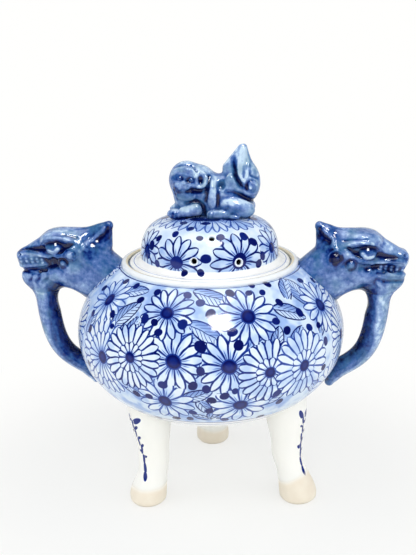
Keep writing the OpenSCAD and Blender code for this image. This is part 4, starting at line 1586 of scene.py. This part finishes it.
    # Painted highlight on faces that look up and painted shade on those that look down; darker also at the
    # very foot.
    wash_and_painted_light = wash_and_painted_light - 0.21 - 0.22 * smoothstep(0.3, 0.85, up)
    wash_and_painted_light += 0.14 * smoothstep(1.0, -3.0, x) * smoothstep(6.0, 9.0, z)
    wash_and_painted_light += 0.5 * smoothstep(1.5, 0.2, z) + 0.25 * smoothstep(0.4, 0.95, -up)
    points = points + np.array([0.0, 0.0, plateau_z])
    lion = mesh_piece("lion_knob_glazed", points, faces, "lid", ["lion_knob"], material)
    mark(lion, "wash_and_painted_light", wash_and_painted_light)


# ---------------------------------------------------------------- stage, lights and camera
LIT_POINT = (0, 0, 0.09)  # the middle of the pot, in metres


def make_stage():
    """A floor that sweeps up into a backdrop, white to the camera except for the pot's shadow."""
    reach, half_width, bend_from, bend, height = 2.2, 3.2, 1.3, 0.7, 2.4
    path = [(-reach, 0.0)]
    for angle in np.linspace(0, math.pi / 2, 24):
        path.append((bend_from + bend * math.sin(angle), bend - bend * math.cos(angle)))
    path.append((bend_from + bend, height))
    points = [(x, y, z) for y, z in path for x in (-half_width, half_width)]
    faces = [(2 * i, 2 * i + 1, 2 * i + 3, 2 * i + 2) for i in range(len(path) - 1)]
    mesh = bpy.data.meshes.new("floor")
    mesh.from_pydata(points, [], faces)
    shade_smooth(mesh)
    material, tree, shader = new_material("floor_paper", 0.6)
    shader.inputs["Base Color"].default_value = linear((0.93, 0.93, 0.92))
    glow = tree.nodes.new("ShaderNodeEmission")
    glow.inputs["Color"].default_value = linear((1.0, 1.0, 0.995))
    x, y, _ = split(tree, object_place(tree))
    away = number("SQRT", x * x + y * y)
    # To the camera the paper glows, less under the pot. The glaze mirrors it only round the foot.
    glowing = seen_by(tree, "Camera", "Transmission") * (0.6 + 0.4 * rising(0.07, 0.19, away))
    glowing = most(glowing, seen_by(tree, "Glossy") * (0.05 + 0.7 * falling(0.1, 0.2, away)))
    mix = tree.nodes.new("ShaderNodeMixShader")
    tree.links.new(glowing.socket, mix.inputs["Fac"])
    tree.links.new(shader.outputs[0], mix.inputs[1])
    tree.links.new(glow.outputs[0], mix.inputs[2])
    tree.links.new(mix.outputs[0], tree.nodes["Material Output"].inputs["Surface"])
    mesh.materials.append(material)
    placed("floor", mesh)


def add_softbox(name, azimuth, elevation, distance, width, height, power, mirrored=False):
    """A rectangular lamp that faces the pot. Azimuth 0 is in front of it and grows towards +X.

    A mirrored one shows in the glaze as a window does and lights nothing; the others only light.
    """
    lamp = bpy.data.lights.new(name, "AREA")
    lamp.shape = "RECTANGLE"
    lamp.size = width
    lamp.size_y = height
    lamp.energy = power
    holder = placed(name, lamp)
    holder.visible_glossy = mirrored
    holder.visible_diffuse = not mirrored
    c, s = cos_sin(elevation)
    away = Vector(facing(azimuth) * c + [0.0, 0.0, s])
    turn = away.to_track_quat("Z", "Y").to_matrix().to_4x4()
    holder.matrix_world = Matrix.Translation(Vector(LIT_POINT) + away * distance) @ turn


def make_lights():
    add_softbox("window", 16, 58, 1.2, 0.3, 0.36, 11, mirrored=True)
    add_softbox("softbox_front", 5, 30, 1.3, 0.9, 0.6, 4.5)
    add_softbox("softbox_left", -68, 42, 1.3, 0.9, 0.9, 3.2)
    add_softbox("softbox_right", 72, 38, 1.3, 0.9, 0.9, 3.2)
    world = bpy.data.worlds.new("studio")
    bpy.context.scene.world = world
    world.use_nodes = True
    tree = world.node_tree
    shader = tree.nodes["Background"]
    shader.inputs["Color"].default_value = linear((0.99, 0.995, 1.0))
    # Even light all round. The glaze mirrors a darker room, with a pale ceiling overhead.
    room, dark_room, ceiling = 0.76, 0.03, 3.0
    up = split(tree, tree.nodes.new("ShaderNodeTexCoord").outputs["Generated"])[2]
    strength = over(room, 1.0, seen_by(tree, "Camera", "Transmission"))
    strength = over(strength, dark_room + ceiling * rising(0.86, 0.98, up), seen_by(tree, "Glossy"))
    tree.links.new(strength.socket, shader.inputs["Strength"])


def make_camera():
    """The photograph's view: its place in metres, and its heading, tilt and roll in degrees."""
    place = (0.02699, -0.36751, 0.2076)
    heading, tilt, roll = 4.36, 16.36, -0.85
    lens = bpy.data.cameras.new("camera")
    lens.sensor_width = 36.0
    lens.lens = 55.46
    lens.clip_start = 0.01
    camera = placed("camera", lens)
    turn = Matrix.Rotation(math.radians(heading), 4, "Z") @ Matrix.Rotation(math.radians(90 - tilt), 4, "X")
    camera.matrix_world = Matrix.Translation(place) @ turn @ Matrix.Rotation(math.radians(roll), 4, "Z")
    bpy.context.scene.camera = camera


# ---------------------------------------------------------------- the scene
bpy.context.scene.view_settings.view_transform = "Standard"
make_camera()
make_stage()
make_lights()
make_bowl()
make_collar()
leg_glaze = leg_porcelain("leg_glaze")
for leg in LEGS:
    make_leg(leg, leg_glaze)
make_dome()
make_seat_ring()
cobalt = cobalt_porcelain("cobalt_glaze")
for side in (1, -1):
    make_head(side, cobalt)
    make_strap(side, cobalt)
make_lion(cobalt)
